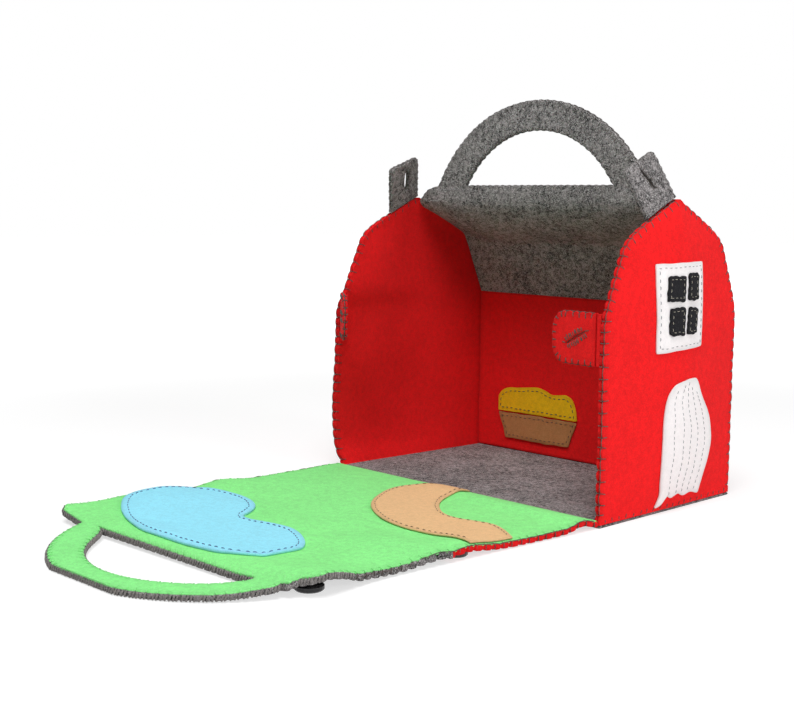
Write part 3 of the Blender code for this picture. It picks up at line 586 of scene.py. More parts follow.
# %% Felt colour and height
tone = math(felt_group, "ADD", remap(felt_group, grain, 0.32, 0.68, -0.6, 0.6),
            remap(felt_group, mott, 0.32, 0.68, -0.45, 0.45))
tone = math(felt_group, "ADD", tone, remap(felt_group, cloud, 0.3, 0.7, -0.2, 0.2))
tone = math(felt_group, "ADD", math(felt_group, "MULTIPLY", tone, given.outputs["Cloud"]), 1.0)
tone = math(felt_group, "MULTIPLY", tone, remap(felt_group, given.outputs["Rim"], 0.0, 1.0, 1.0, 0.82))
shade = node(felt_group, "ShaderNodeVectorMath", {0: given.outputs["Colour"], "Scale": tone}, operation="SCALE")
light = math(felt_group, "MULTIPLY", remap(felt_group, fibre, 0.56, 0.74), given.outputs["Fleck"])
flecked = mixed(felt_group, light, shade.outputs[0], given.outputs["Fleck colour"])
felt_group.links.new(flecked, taken.inputs["Colour"])
bumps = math(felt_group, "ADD", math(felt_group, "MULTIPLY", fibre, 0.55), math(felt_group, "MULTIPLY", grain, 0.3))
bumps = math(felt_group, "ADD", bumps, math(felt_group, "MULTIPLY", mott, 0.6))
felt_group.links.new(bumps, taken.inputs["Height"])


def felt_material(name, colour, fleck, fleck_share, cloud_share, sheen):
    """Felt of one colour, with fibres of the fleck colour in it and its contrast set by cloud_share."""
    tint = (*[min(1, 0.25 + c) for c in colour], 1)
    made, tree, shader = material(name, Roughness=0.95, Specular_IOR_Level=0.15, Sheen_Weight=sheen,
                                  Sheen_Roughness=0.6, Sheen_Tint=tint)
    fibre_node = node(tree, "ShaderNodeGroup", node_tree=felt_group)
    for key, value in (("Colour", (*colour, 1)), ("Fleck colour", (*fleck, 1)), ("Fleck", fleck_share),
                       ("Cloud", cloud_share)):
        fibre_node.inputs[key].default_value = value
    rim = node(tree, "ShaderNodeAttribute", attribute_name="rim")
    tree.links.new(rim.outputs["Fac"], fibre_node.inputs["Rim"])
    dress(tree, shader, fibre_node.outputs["Colour"], fibre_node.outputs["Height"], 0.55, 0.0006)
    return made


FELTS = {
    "red": felt_material("red felt", (0.84, 0.010, 0.012), (0.95, 0.035, 0.035), 0.25, 0.16, 0.05),
    "grey": felt_material("heather grey felt", (0.150, 0.138, 0.138), (0.60, 0.59, 0.58), 0.8, 1.6, 0.05),
    "green": felt_material("grass green felt", (0.26, 0.87, 0.26), (0.48, 0.95, 0.48), 0.25, 0.14, 0.10),
    "blue": felt_material("pond blue felt", (0.31, 0.80, 0.98), (0.55, 0.9, 1.0), 0.2, 0.10, 0.10),
    "tan": felt_material("path tan felt", (0.79, 0.50, 0.25), (0.9, 0.66, 0.42), 0.25, 0.12, 0.12),
    "yellow": felt_material("hay yellow felt", (0.90, 0.57, 0.008), (0.95, 0.70, 0.06), 0.25, 0.14, 0.1),
    "brown": felt_material("trough brown felt", (0.48, 0.23, 0.085), (0.6, 0.34, 0.16), 0.25, 0.14, 0.1),
    "white": felt_material("white felt", (0.92, 0.89, 0.89), (0.97, 0.95, 0.95), 0.2, 0.05, 0.05),
    "black": felt_material("black felt", (0.010, 0.010, 0.012), (0.06, 0.06, 0.065), 0.4, 0.3, 0.05),
}
print("felts:", sorted(FELTS))

# %% [markdown]
# ## Sewing thread
# The thread is six strands of cotton floss laid side by side. At this size only its fine twist
# and a darker and a lighter side of the strands can be seen. A stretched noise gives the twist as a bump
# and paints that shade and light into the colour.

# %% Thread materials
def thread_material(name, colour, light):
    made, tree, shader = material(name, Roughness=0.75, Sheen_Weight=0.2)
    strand = noise(tree, node(tree, "ShaderNodeTexCoord").outputs["Object"], 2400.0, 2.0)
    # painted shade and light of the strands: the noise mixes the thread's colour with a lighter tone
    shade = mixed(tree, remap(tree, strand, 0.35, 0.65), (*colour, 1), (*light, 1))
    dress(tree, shader, shade, strand, 0.4, 0.0002)
    return made


THREADS = {
    "taupe": thread_material("taupe thread", (0.030, 0.018, 0.016), (0.095, 0.062, 0.054)),
    "leaf": thread_material("leaf green thread", (0.20, 0.74, 0.20), (0.30, 0.85, 0.30)),
    "smoke": thread_material("smoke grey thread", (0.10, 0.09, 0.085), (0.24, 0.22, 0.21)),
    "navy": thread_material("navy thread", (0.012, 0.05, 0.16), (0.03, 0.12, 0.32)),
    "umber": thread_material("umber thread", (0.16, 0.08, 0.03), (0.30, 0.17, 0.08)),
    "ink": thread_material("ink thread", (0.03, 0.022, 0.016), (0.08, 0.06, 0.045)),
    "ash": thread_material("ash grey thread", (0.16, 0.16, 0.18), (0.32, 0.32, 0.34)),
    "cream": thread_material("cream thread", (0.42, 0.38, 0.30), (0.62, 0.58, 0.48)),
}
print("threads:", sorted(THREADS))

# %% Button material
button, tree, shader = material("black button")
coords = node(tree, "ShaderNodeTexCoord").outputs["Object"]
smear = noise(tree, coords, 220.0, 5.0)
scratch = noise(tree, coords, 1900.0, 3.0)
tone = mixed(tree, remap(tree, smear, 0.3, 0.7), (0.008, 0.008, 0.010, 1), (0.022, 0.021, 0.022, 1))
tree.links.new(remap(tree, smear, 0.3, 0.7, 0.16, 0.34), shader.inputs["Roughness"])
dress(tree, shader, tone, scratch, 0.1, 0.0001)
buttons = [obj for name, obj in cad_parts.items() if "button" in name]
for obj in buttons:
    for slot in obj.material_slots:
        slot.material = button
print("buttons:", len(buttons))

# %% [markdown]
# ## From a cut to a piece
# One call turns a flat cut into a finished piece: its mesh in place, its felt, the body it moves
# with, the plain solid it stands for, and its flat size as cloth. A piece that crosses a fold gets no
# body: it stays where it is laid, with its transform baked into the mesh.

# %% Make a felt piece
EAVE_FOLD = ("front_wall", "front_steep_roof", (0, -0.202, 0.007), (0, -0.218, 0.007))
KNEE_FOLD = ("front_steep_roof", "front_shallow_roof", (0, -0.2575, 0.007), (0, -0.274, 0.007))
RIDGE_FOLD = ("front_shallow_roof", "front_handle", (0, -0.3165, 0.006), (0, -0.3335, 0.006))
made_sizes = {}


def held_by(piece, hold):
    if isinstance(hold, str):
        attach(piece, hold)
    else:
        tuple(hold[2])
        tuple(hold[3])
        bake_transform(piece)


def felt_piece(name, cut, place, mid, colour, hold, replaced=(),
               half=LAYER / 2):
    """cut is a grid from strip, disc or ring. The flat area is the sum of the grid's cells."""
    u, v, full, rim, kind = cut
    piece = felt_mesh(name, u, v, full, rim, place, mid, half, kind)
    piece.data.materials.append(FELTS[colour])
    held_by(piece, hold)
    if replaced:
        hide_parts(*replaced)
    if kind != "panel":
        u, v = (np.concatenate([g, g[:, :1]], axis=1) for g in (u, v))
    ax, ay = u[1:, 1:] - u[:-1, :-1], v[1:, 1:] - v[:-1, :-1]
    bx, by = u[1:, :-1] - u[:-1, 1:], v[1:, :-1] - v[:-1, 1:]
    area = float(np.abs(ax * by - ay * bx).sum() / 2)
    wide, long = float(np.ptp(u)), float(np.ptp(v))
    made_sizes[name] = (round(wide, 1), round(long, 1), round(area / 100, 1))
    return piece


# %% [markdown]
# ## Thread as tubes
# A stitch is a short tube along a centre line. All stitches of one seam share one mesh: the centre
# lines are one array, and a six-sided ring stands square on each of their points.

# %% Make a thread piece
def tubes(groups, radius):
    """groups holds (lines, aside): centre lines as (count, points, 3) and for each line a direction that
    is never along it. Each ring is radius times (cos a sideways + sin a upward), narrower at the ends."""
    points, faces, start = [], [], 0
    around = np.arange(6) * pi / 3
    for lines, aside in groups:
        ahead = np.gradient(lines, axis=1)
        ahead /= np.maximum(np.linalg.norm(ahead, axis=-1, keepdims=True), 1e-9)
        side = np.cross(ahead, aside)
        side /= np.maximum(np.linalg.norm(side, axis=-1, keepdims=True), 1e-9)
        up = np.cross(side, ahead)
        count, steps, _ = lines.shape
        width = np.full(steps, radius)
        width[[0, -1]] *= 0.55
        rings = lines[:, :, None] + width[None, :, None, None] * (
            np.cos(around)[:, None] * side[:, :, None] + np.sin(around)[:, None] * up[:, :, None])
        index = start + np.arange(count * steps * 6).reshape(count, steps, 6)
        wrap = np.roll(index, -1, axis=2)
        faces.append(np.stack([index[:, :-1], index[:, 1:], wrap[:, 1:], wrap[:, :-1]], -1).reshape(-1, 4))
        faces.append(np.concatenate([index[:, 0], index[:, -1, ::-1]]))
        points.append(rings.reshape(-1, 3))
        start += count * steps * 6
    return np.concatenate(points), faces


def thread_piece(name, groups, colour, hold, radius=0.3):
    points, faces = tubes(groups, radius)
    piece = write_mesh(name, points, faces)
    piece.data.materials.append(THREADS[colour])
    held_by(piece, hold)
    return piece


def step_of(place, at, way, h):
    """Where a step of one way from each flat point leads in the room."""
    return (place(at[:, 0] + way[:, 0], at[:, 1] + way[:, 1], h) - place(at[:, 0], at[:, 1], h))[:, None]


def blanket(line, seed, place, face, back, pitch=PITCH, closed=False, arm=4.6, corner=False, level=None):
    """Blanket stitches over an edge, as three groups. A face arm starts in the face at the arm's length
    inside the edge and reaches it, a far arm goes on over the edge and back on the other side, and a
    strand along the edge links each stitch to the next. With corner the far arm turns on to the
    neighbouring panel's face instead. level is the strand's height on the edge."""
    s = stitch_marks(line, seed, pitch, closed)
    dice = np.random.default_rng(seed + 1)
    foot, out = at_distance(line, s), outward(line, np.clip(s, 0.6, measured(line)[-1] - 0.6))
    along = np.stack([-out[:, 1], out[:, 0]], axis=1)
    mid = (face + back) / 2
    level = mid + 0.12 * (face - back) if level is None else level
    long = arm * dice.uniform(0.78, 1.1, len(s))[:, None]
    lean = dice.uniform(-0.9, 0.9, len(s))[:, None]
    face_arm = (np.array([-1, -0.9, -0.5, -0.2, -0.1]),
                np.array([face - 0.5, face + 0.12, face + 0.15, face - 0.12, face - 0.5]))
    if corner:
        far_arm = (np.array([-0.1, -0.02, 0.0, 0.0, -0.1]),
                   np.array([face - 0.5, face - 1.2, face - 2.4, face - arm + 0.4, face - arm]))
    else:
        far_arm = (np.array([-0.1, -0.03, -0.03, -0.12, -0.5, -0.9, -1]),
                   np.array([face - 0.5, mid + 0.5, mid - 0.5, back + 0.35, back - 0.15, back - 0.12, back + 0.5]))
    groups = []
    aside = step_of(place, foot, along, mid)
    for share, h in (face_arm, far_arm):
        o = share[None] * long
        slide = lean * np.clip(-o / arm, 0, 1.2)
        spots = foot[:, None] + out[:, None] * o[..., None] + along[:, None] * slide[..., None]
        groups.append((place(spots[..., 0], spots[..., 1], np.broadcast_to(h, o.shape)), aside))
    ends = np.concatenate([s[1:], s[:1] + measured(line)[-1]]) if closed else s[1:]
    starts = s if closed else s[:-1]
    t = np.linspace(0, 1, 7)[None]
    where = starts[:, None] + (ends - starts)[:, None] * t
    where = np.mod(where, measured(line)[-1]) if closed else where
    bulge = -0.45 + 0.7 * np.sin(pi * t)
    height = level + 0.35 * dice.uniform(-1, 1, (len(starts), 1)) * np.sin(pi * t)
    spots = at_distance(line, where) + outward(line, where) * bulge[..., None]
    links = place(spots[..., 0], spots[..., 1], height)
    over = step_of(place, at_distance(line, where[:, 3]), outward(line, where[:, 3]) * 2, mid)
    groups.append((links, over))
    return groups


def overcast(line, seed, place, face, back, pitch=2.3, depth=0.9):
    """Close stitches that only hug the edge: each is a C from just under the face, round the edge and
    back, leaning a little forward. Side by side they make a corded edge."""
    length = measured(line)[-1]
    count = int(length / pitch)
    dice = np.random.default_rng(seed)
    s = (np.arange(count) + 0.5) * length / count + dice.uniform(-0.25, 0.25, count)
    foot, out = at_distance(line, s), outward(line, np.clip(s, 0.6, length - 0.6))
    along = np.stack([-out[:, 1], out[:, 0]], axis=1)
    angle = np.linspace(-0.5, 0.5, 7) * pi
    o = 0.25 * np.cos(angle)[None] - depth * (1 - np.cos(angle))[None] ** 2
    o = o + dice.uniform(-0.12, 0.12, (count, 1))
    h = (face + back) / 2 + (back - face) / 2 * np.sin(angle)[None] + 0 * o
    lean = 0.5 * np.sin(angle)[None] + dice.uniform(-0.3, 0.3, (count, 1))
    spots = foot[:, None] + out[:, None] * o[..., None] + along[:, None] * lean[..., None]
    return [(place(spots[..., 0], spots[..., 1], h), step_of(place, foot, along, h[:, 3]))]


def running(line, place, level, dash=3.2, gap=2.0, seed=1, wander=0.25):
    """Running stitches: dashes that dive into the felt at both ends."""
    length = measured(line)[-1]
    count = max(1, int(length / (dash + gap)))
    dice = np.random.default_rng(seed)
    start = (np.arange(count) + 0.3) * length / count + dice.uniform(-0.3, 0.3, count)
    t = np.linspace(0, 1, 6)[None]
    s = np.clip(start[:, None] + dash * dice.uniform(0.85, 1.1, (count, 1)) * t, 0, length)
    spots = at_distance(line, s) + outward(line, s) * wander * dice.uniform(-1, 1, (count, 1, 1))
    lines = place(spots[..., 0], spots[..., 1], level + np.array([-0.3, 0.12, 0.26, 0.26, 0.12, -0.3])[None])
    aside = place(spots[:, 0, 0], spots[:, 0, 1], level + 1.0) - place(spots[:, 0, 0], spots[:, 0, 1], level)
    return [(lines, aside[:, None])]


# %% [markdown]
# ## Floor
# The floor is two layers of the heather grey felt. Its edge shows under the right gable as a thin
# grey line, because the gable stands on it.

# %% Sew the floor
for word, mid, half, end in (("outer", 1.0, half_outer, HALF_DEPTH), ("lining", 3.3, half_inner, 75.7)):
    ys = spaced([(0, -HALF_DEPTH), (0, end)], 2.5)[:, 1]
    cut = strip(np.stack([-half(ys), ys], 1), np.stack([half(ys), ys], 1), middle=36, ends=(True, True))
    felt_piece(f"floor_{word}_felt", cut, lying, mid, "grey", "barn", [f"floor_{word}"])
print("floor:", made_sizes["floor_outer_felt"])

# %% [markdown]
# ## Gables
# Each gable is cut in the shape of the barn's end, an outer and a lining layer, and blanket-stitched
# all round. Along the front slopes both layers end in a free edge. Along the back they are sewn to
# the back wall and the roof, so there the stitches turn over the corner.

# %% Sew the gables
edge_zs = np.linspace(4.5, 214.6, 90)
FRONT_EDGE = np.stack([gable_front(edge_zs), edge_zs], 1)[::-1]
BACK_EDGE = np.stack([gable_outer_back(edge_zs), edge_zs], 1)[:-1]
FOOT_EDGE = np.array([(-76, 2.6), (76, 2.6)])
zs = np.unique(np.round(np.concatenate([np.arange(2.3, 214.4, 1.9), [EAVE, KNEE, 214.5]]), 2))
for word, side, reach in (("right", 1, 10), ("left", -1, 8)):
    place = on_gable(side, reach)
    seams = [(FRONT_EDGE, 31 + side, PITCH, False), (BACK_EDGE, 41 + side, PITCH, False)]
    for layer, mid in (("outer", -LAYER / 2), ("lining", -LAYER / 2 - LAYER - SEAM)):
        back = gable_outer_back(zs) if layer == "outer" else gable_back(zs)
        cut = strip(np.stack([gable_front(zs), zs], 1), np.stack([back, zs], 1), seams, middle=22)
        felt_piece(f"{word}_gable_{layer}_felt", cut, place, mid, "red", "barn", [f"{word}_gable_{layer}"])
    groups = blanket(FRONT_EDGE, 31 + side, place, 0, -BOARD, level=-0.8)
    groups += blanket(BACK_EDGE, 41 + side, place, 0, -BOARD, corner=True, level=-0.6)
    groups += blanket(FOOT_EDGE, 51 + side, place, 0, -BOARD, corner=True, arm=3.4, level=-0.6)
    thread_piece(f"{word}_gable_stitches", groups, "taupe", "barn")
print("gable:", made_sizes["right_gable_outer_felt"])

# %% [markdown]
# ## Back wall and roof
# The back wall is red inside and outside, and a grey sheet continues it over the knee up to the
# ridge. Inside, that sheet sags into a soft crease below the knee, which the photograph shows well.

# %% Sew the back
for layer, mid, half, foot in (("outer", -1.0, half_outer, 2.3), ("lining", -3.3, half_inner, 4.6)):
    zs = spaced([(0, foot), (0, 136.8 - 0.3 * (layer == "lining"))], 2.5)[:, 1]
    room = 2.3 if layer == "outer" else 0
    wide = half(HALF_DEPTH + mid) - room + 0 * zs
    cut = strip(np.stack([-wide, zs], 1), np.stack([wide, zs], 1), middle=36, ends=(True, True))
    felt_piece(f"back_wall_{layer}_felt", cut, standing, mid, "red", "barn", [f"back_wall_{layer}"])
    ds = spaced([(0, 0.4), (0, ROOF_LONG - 0.2 if layer == "lining" else RIDGE_AT - 1)], 1.6)[:, 1]
    narrowed = np.interp(ds, [RIDGE_AT, ROOF_LONG - 6, ROOF_LONG - 2.5, ROOF_LONG], [130, 119, 115, 107])
    wide = np.minimum(half(at_distance(TIGHT, ds)[:, 0]) - room, narrowed)
    cut = strip(np.stack([-wide, ds], 1), np.stack([wide, ds], 1), middle=36, ends=(True, True))
    felt_piece(f"back_roof_{layer}_felt", cut, on_back_roof, mid, "grey", "barn", [f"back_roof_{layer}"])
groups = running(np.array([(-122, EAVE - 3.5), (122, EAVE - 3.5)]), standing, 0.05, 3.4, 2.4, 5)
groups += running(np.array([(-122, 4.0), (122, 4.0)]), on_back_roof, 0.05, 3.4, 2.4, 6)
thread_piece("eave_seam_stitches", groups, "smoke", "barn")
print("roof sheet:", made_sizes["back_roof_outer_felt"])

# %% [markdown]
# ## Handles
# A handle is an arch cut in two layers, with a hole for the hand, on a strip that runs along the
# ridge. The grid goes round the hole: the arch of the hole meets the outer arch, and the hole's
# straight edge fans out to the strip's ends and foot.

# %% Outlines of a handle
BACK_ARCH, BACK_GRIP = (203, 62.5), (143, 40.5)      # width and height of the arch and of its hole
ARCH_FOOT = 224        # height of the arch's foot over the table


def handle_outline(foot_line, count_arch=150, count_foot=190):
    """foot_line runs from the left end of the outer arch round the foot to its right end."""
    foot = evenly(np.asarray(foot_line, float), count_foot)[:-1]
    share = np.linspace(0, 1, count_foot)[:-1, None]
    hole_foot = [(-BACK_GRIP[0] / 2, 0.0)] + share * [(BACK_GRIP[0], 0.0)]
    hole = np.concatenate([arch(*BACK_GRIP, 0, count_arch)[:-1], hole_foot])
    return hole, np.concatenate([arch(*BACK_ARCH, 0, count_arch)[:-1], foot])


# %% Sew the back handle
STRIP_END = [(-101.5, 0), (-108.5, -1.6), (-114.5, -3.6), (-118.2, -6.8), (-119, -10.5), (-119, -13)]
FOOT = STRIP_END + [(-x, z) for x, z in STRIP_END[::-1]]
hole, rim_line = handle_outline(FOOT)
hole, rim_line = hole + [0, ARCH_FOOT], rim_line + [0, ARCH_FOOT]
closed_hole = np.concatenate([hole, hole[:1]])[::-1]
strip_end = np.array(STRIP_END[1:]) + [0, ARCH_FOOT]
top_line = np.concatenate([strip_end[::-1] * [-1, 1], arch(*BACK_ARCH, ARCH_FOOT, 120), strip_end])
HANDLE_PITCH = 6.4
seams = [(top_line, 61, HANDLE_PITCH, False), (closed_hole, 62, HANDLE_PITCH, True)]
cut = ring(hole, rim_line, seams, middle=6)
for layer, mid in (("lining", 1.3), ("outer", 3.6)):
    felt_piece(f"back_handle_{layer}_felt", cut, upright, mid, "grey", "barn", [f"back_handle_{layer}"])
groups = blanket(top_line, 61, upright, 4.6, 0.3, HANDLE_PITCH, arm=4.6)
groups += blanket(closed_hole, 62, upright, 4.6, 0.3, HANDLE_PITCH, True, arm=4.6)
groups += running(np.array([(-115, 213.5), (115, 213.5)]), upright, 4.65, 3.2, 2.4, 7)
thread_piece("back_handle_stitches", groups, "smoke", "barn")
print("handle:", made_sizes["back_handle_outer_felt"])

# %% [markdown]
# ## The mat's felt
# The green face and the outer skin each run over all the folds. Each is cut in three where a panel
# is flat, and the cuts meet edge to edge. The skin is red under the wall and grey under the roof.

# %% Sew the mat
HALF_STEEP = (WALL_END + KNEE_END) / 2
HALF_SHALLOW = (KNEE_END + RIDGE) / 2 - 2
edge_seeds = {1: 71, -1: 72}
LOW_END = 0.4


def mat_side(side, start, end):
    """The mat's long edge between two distances, running so that outward is to its right."""
    d = np.unique([start, end] + [x for x in (25, 95, WALL_END, KNEE_END) if start < x < end])
    d = d[::-1] if side < 0 else d
    return np.stack([side * mat_half(d), d], 1)


def lipped(cut, middle, drop):
    """A lower layer's edge swells up beside the upper layer's edge: its middle height and half thickness,
    where the swelling is a bell curve of the distance to the edge and drop is how far it also hangs."""
    swell = np.exp(-(np.log(np.clip(cut[3], 1e-6, 1)) * 3 / 1.7) ** 2)
    top, foot = middle + 1 + 1.9 * swell, middle - 1 - drop * swell
    return (top + foot) / 2, (top - foot) / 2


def mat_strip(start, end, ends=(False, False), pitch=PITCH, wider=0.0):
    """The mat's full width between two distances, as a strip with its two long seams."""
    folds = [(0, x) for x in (WALL_END, KNEE_END) if start < x < end]
    d = spaced([(0, start)] + folds + [(0, end)], 1.7)[:, 1]
    seams = [(mat_side(side, start, end), edge_seeds[side], pitch, False) for side in (1, -1)]
    half = mat_half(d) + wider
    return strip(np.stack([-half, d], 1), np.stack([half, d], 1), seams, middle=44, ends=ends)


GREEN_MID, SKIN_MID = -1.0, -3.3
green_low = mat_strip(LOW_END, HALF_STEEP, (True, False), wider=-0.9)
felt_piece("mat_green_low", green_low, on_mat, GREEN_MID, "green", EAVE_FOLD,
           ["front_wall_lining"])
green_middle = mat_strip(HALF_STEEP, HALF_SHALLOW, wider=-0.9)
felt_piece("mat_green_middle", green_middle, on_mat, GREEN_MID, "green", KNEE_FOLD,
           ["front_steep_roof_lining", "front_shallow_roof_lining"])
skin_low = mat_strip(LOW_END, WALL_END - 0.2, (True, False))
middle, half = lipped(skin_low, SKIN_MID, 0.4)
felt_piece("front_wall_skin", skin_low, on_mat, middle, "red", "front_wall",
           ["front_wall_outer"], half=half)
skin_eave = mat_strip(WALL_END + 0.1, HALF_SHALLOW)
middle, half = lipped(skin_eave, SKIN_MID, 1.2)
felt_piece("front_roof_skin", skin_eave, on_mat, middle, "grey", KNEE_FOLD,
           ["front_steep_roof_outer", "front_shallow_roof_outer"], half=half)
print("green:", made_sizes["mat_green_low"], made_sizes["mat_green_middle"])

# %% [markdown]
# ## The mat's handle
# The last piece takes the rest of the roof and the handle in one cut, with rounded ends of the
# ridge that stick out like two small flaps. The left one curls up a little, the right one more.

# %% Sew the mat's handle
CHORD = RIDGE + 6.1
FLAPS = [(-101.5, 0), (-111, -4.5), (-119, -6.5), (-123.6, -11), (-MAT_EDGE, -18)]
FOOT_LEVEL = HALF_SHALLOW - 1 - CHORD     # a millimetre under the strip, so that no groove shows
ARCH, GRIP, ARCH_OFF, GRIP_OFF = (197, 67.5), (145, 48), -2.0, 0.5
CORNER = 8             # how far the hole's left corner reaches out past its arch


def mat_handle(inset):
    """The hole and the outline of the mat's handle. inset makes the hole wider and the outline narrower."""
    foot_line = FLAPS + [(-MAT_EDGE, FOOT_LEVEL), (MAT_EDGE, FOOT_LEVEL)] + [(-x, y) for x, y in FLAPS[::-1]]
    foot = evenly(np.array(foot_line, float), 260)[:-1]
    share = np.linspace(0, 1, 260)[:-1, None]
    grip = arch(*GRIP, 0, 150)[:-1]
    grip[:, 0] -= CORNER * np.clip(-2 * grip[:, 0] / GRIP[0], 0, 1) ** 4 * np.exp(-grip[:, 1] / 9)
    hole_foot = [(-GRIP[0] / 2 - CORNER, 0.0)] + share * [GRIP[0] + CORNER, 0.0]
    hole = np.concatenate([grip, hole_foot]) + [GRIP_OFF, CHORD]
    rim_line = np.concatenate([arch(*ARCH, 0, 150)[:-1] + [ARCH_OFF, 0], foot]) + [0, CHORD]
    moved = []
    for line, way in ((hole, 1), (rim_line, -1)):
        loop = np.concatenate([line, line[:1]])
        walked = measured(loop)
        moved.append(line + outward(loop, np.clip(walked[:-1], 0.7, walked[-1] - 0.7)) * inset * way)
    return moved


hole, rim_line = mat_handle(0.0)
closed_hole = np.concatenate([hole, hole[:1]])[::-1]
left_flap = np.array([(x, y + CHORD) for x, y in FLAPS] + [(-MAT_EDGE, HALF_SHALLOW)])
right_flap = np.array([(-x, y) for x, y in left_flap])[::-1]
open_edge = np.concatenate([right_flap[:-1], arch(*ARCH, CHORD, 120) + [ARCH_OFF, 0], left_flap[1:]])
seams = [(open_edge, 81, HANDLE_PITCH, False), (closed_hole, 82, HANDLE_PITCH, True)]
joined = rim_line[:, 1] < HALF_SHALLOW - 0.5
cut = ring(*mat_handle(0.6), seams, middle=12, joined=joined)
felt_piece("mat_green_handle", cut, on_mat, GREEN_MID, "green", RIDGE_FOLD,
           ["front_handle_lining"])
cut = ring(hole, rim_line, seams, middle=12, joined=joined)
middle, half = lipped(cut, SKIN_MID, 0.8 * (1 - smooth(cut[1], RIDGE, RIDGE + 30)))
felt_piece("front_handle_skin", cut, on_mat, middle, "grey", RIDGE_FOLD,
           ["front_handle_outer"], half=half)
outer_seam = blanket(open_edge, 81, on_mat, 0, -BOARD, HANDLE_PITCH, arm=4.0, level=-BOARD / 2)
hole_seam = blanket(closed_hole, 82, on_mat, 0, -BOARD, HANDLE_PITCH, True, arm=4.0, level=-BOARD / 2)
thread_piece("front_handle_face_stitches", [outer_seam[0], hole_seam[0]], "leaf", RIDGE_FOLD, 0.26)
cording = overcast(open_edge, 83, on_mat, -1.0, -BOARD + 0.1)
cording += overcast(closed_hole, 84, on_mat, -1.0, -BOARD + 0.1)
thread_piece("front_handle_cording", cording, "smoke", RIDGE_FOLD, 0.62)
thread_piece("front_handle_back_stitches", [outer_seam[1], hole_seam[1]], "smoke", RIDGE_FOLD)
for word, start, end, hold, level in (("low", LOW_END, HALF_STEEP, EAVE_FOLD, -0.5),
                                      ("middle", HALF_STEEP, HALF_SHALLOW, KNEE_FOLD, -BOARD / 2)):
    seams = [blanket(mat_side(side, start, end), edge_seeds[side], on_mat, 0, -BOARD, arm=4.2, level=level)
             for side in (1, -1)]
    thread_piece(f"mat_{word}_face_stitches", [seam[0] for seam in seams], "leaf", hold, 0.26)
    thread_piece(f"mat_{word}_stitches", [group for seam in seams for group in seam[1:]], "taupe", hold)
print("mat handle:", made_sizes["mat_green_handle"])

# %% [markdown]
# ## Pictures on the mat
# A pond and a winding path are cut from thinner felt and laid on the green, each with one row of
# running stitches a little inside its edge.

# %% Work on closed outlines
def inset(line, distance):
    """A closed outline moved inward by a distance along its own normals, then smoothed by its
    neighbours."""
    s = np.linspace(0, measured(line)[-1], len(line))
    moved = at_distance(line, s) - outward(line, s) * distance
    looped = np.concatenate([moved[-4:-1], moved, moved[1:4]])
    kernel = np.ones(7) / 7
    return np.stack([np.convolve(looped[:, k], kernel, "valid") for k in (0, 1)], axis=1)


def counter_clockwise(line):
    """The line, turned round if the sum of x1 y2 - x2 y1 along it is negative."""
    (x1, y1), (x2, y2) = line[:-1].T, line[1:].T
    return line if np.sum(x1 * y2 - x2 * y1) > 0 else line[::-1]


square = np.array([(0, 0), (0, 9), (9, 9), (9, 0), (0, 0)])
print("a clockwise square now starts", counter_clockwise(square)[:2].tolist())

# %% Sew the pond
POND = [(-91.7, 220.5), (-112, 205.5), (-120.5, 191.5), (-122.6, 178), (-122.8, 166), (-121.5, 153),
        (-114, 142.5), (-99, 137), (-80, 134.5), (-62, 138), (-46, 146), (-35.5, 157.5), (-28.5, 169),
        (-18, 171.5), (-5.5, 169), (7, 167), (19, 167), (33, 171.5), (50, 182), (60.5, 194), (61.5, 206),
        (57.5, 221), (49.6, 234), (37, 241), (20, 243.3), (2.7, 244), (-18.3, 243.2), (-39.4, 242),
        (-58, 236.6), (-76, 228.5)]
PATCH_MID = SEAM + PATCH_HALF + 0.1
shore = evenly(curved(POND, True)[::-1], 330)
felt_piece("pond_felt", disc(shore, (-34, 205), middle=16), on_mat, PATCH_MID, "blue", KNEE_FOLD,
           ["pond_eave_half", "pond_ridge_half"], PATCH_HALF + 0.15)
groups = running(inset(counter_clockwise(shore), 4.2), on_mat, PATCH_MID + 0.75, 3.0, 2.2, 12)
thread_piece("pond_stitches", groups, "navy", KNEE_FOLD, 0.32)
print("pond:", made_sizes["pond_felt"])

# %% Sew the path
PATH_OUTER = [(-10.4, 2.9), (-19.4, 17.5), (-27.5, 29.5), (-25.2, 44.2), (-16.9, 61), (-7, 75.6), (5.7, 88),
              (22.6, 98.9), (40.8, 106.6), (60.8, 110.5), (78, 111), (96.4, 112.5), (110.8, 114),
              (119.3, 115), (124.3, 116)]
PATH_INNER = [(17, 3.3), (18.4, 18), (20.5, 32), (31, 48), (46, 61.5), (59, 68), (71.4, 68.5), (83.5, 64.5),
              (95, 62.5), (109, 68), (124.3, 78)]
outer_side, inner_side = (evenly(curved(shape), 120) for shape in (PATH_OUTER, PATH_INNER))
cut = strip(outer_side, inner_side, middle=14, ends=(True, True))
felt_piece("path_felt", cut, on_mat, PATCH_MID, "tan", "front_wall",
           ["path"], PATCH_HALF + 0.1)
toward = inner_side - outer_side
toward /= np.linalg.norm(toward, axis=1, keepdims=True)
groups = running((outer_side + toward * 3)[4:-4], on_mat, PATCH_MID + 0.7, 3.0, 2.4, 14)
groups += running((inner_side - toward * 3)[4:-4], on_mat, PATCH_MID + 0.7, 3.0, 2.4, 15)
thread_piece("path_stitches", groups, "umber", "front_wall", 0.3)
print("path:", made_sizes["path_felt"])

# %% [markdown]
# ## Window and door
# The window is a white frame with four black panes laid on it, and the door a white patch with a
# round head. Both bend with the gable's crease, because they are sewn flat on it.

# %% Sew the window
right_wall = on_gable(1, 10)


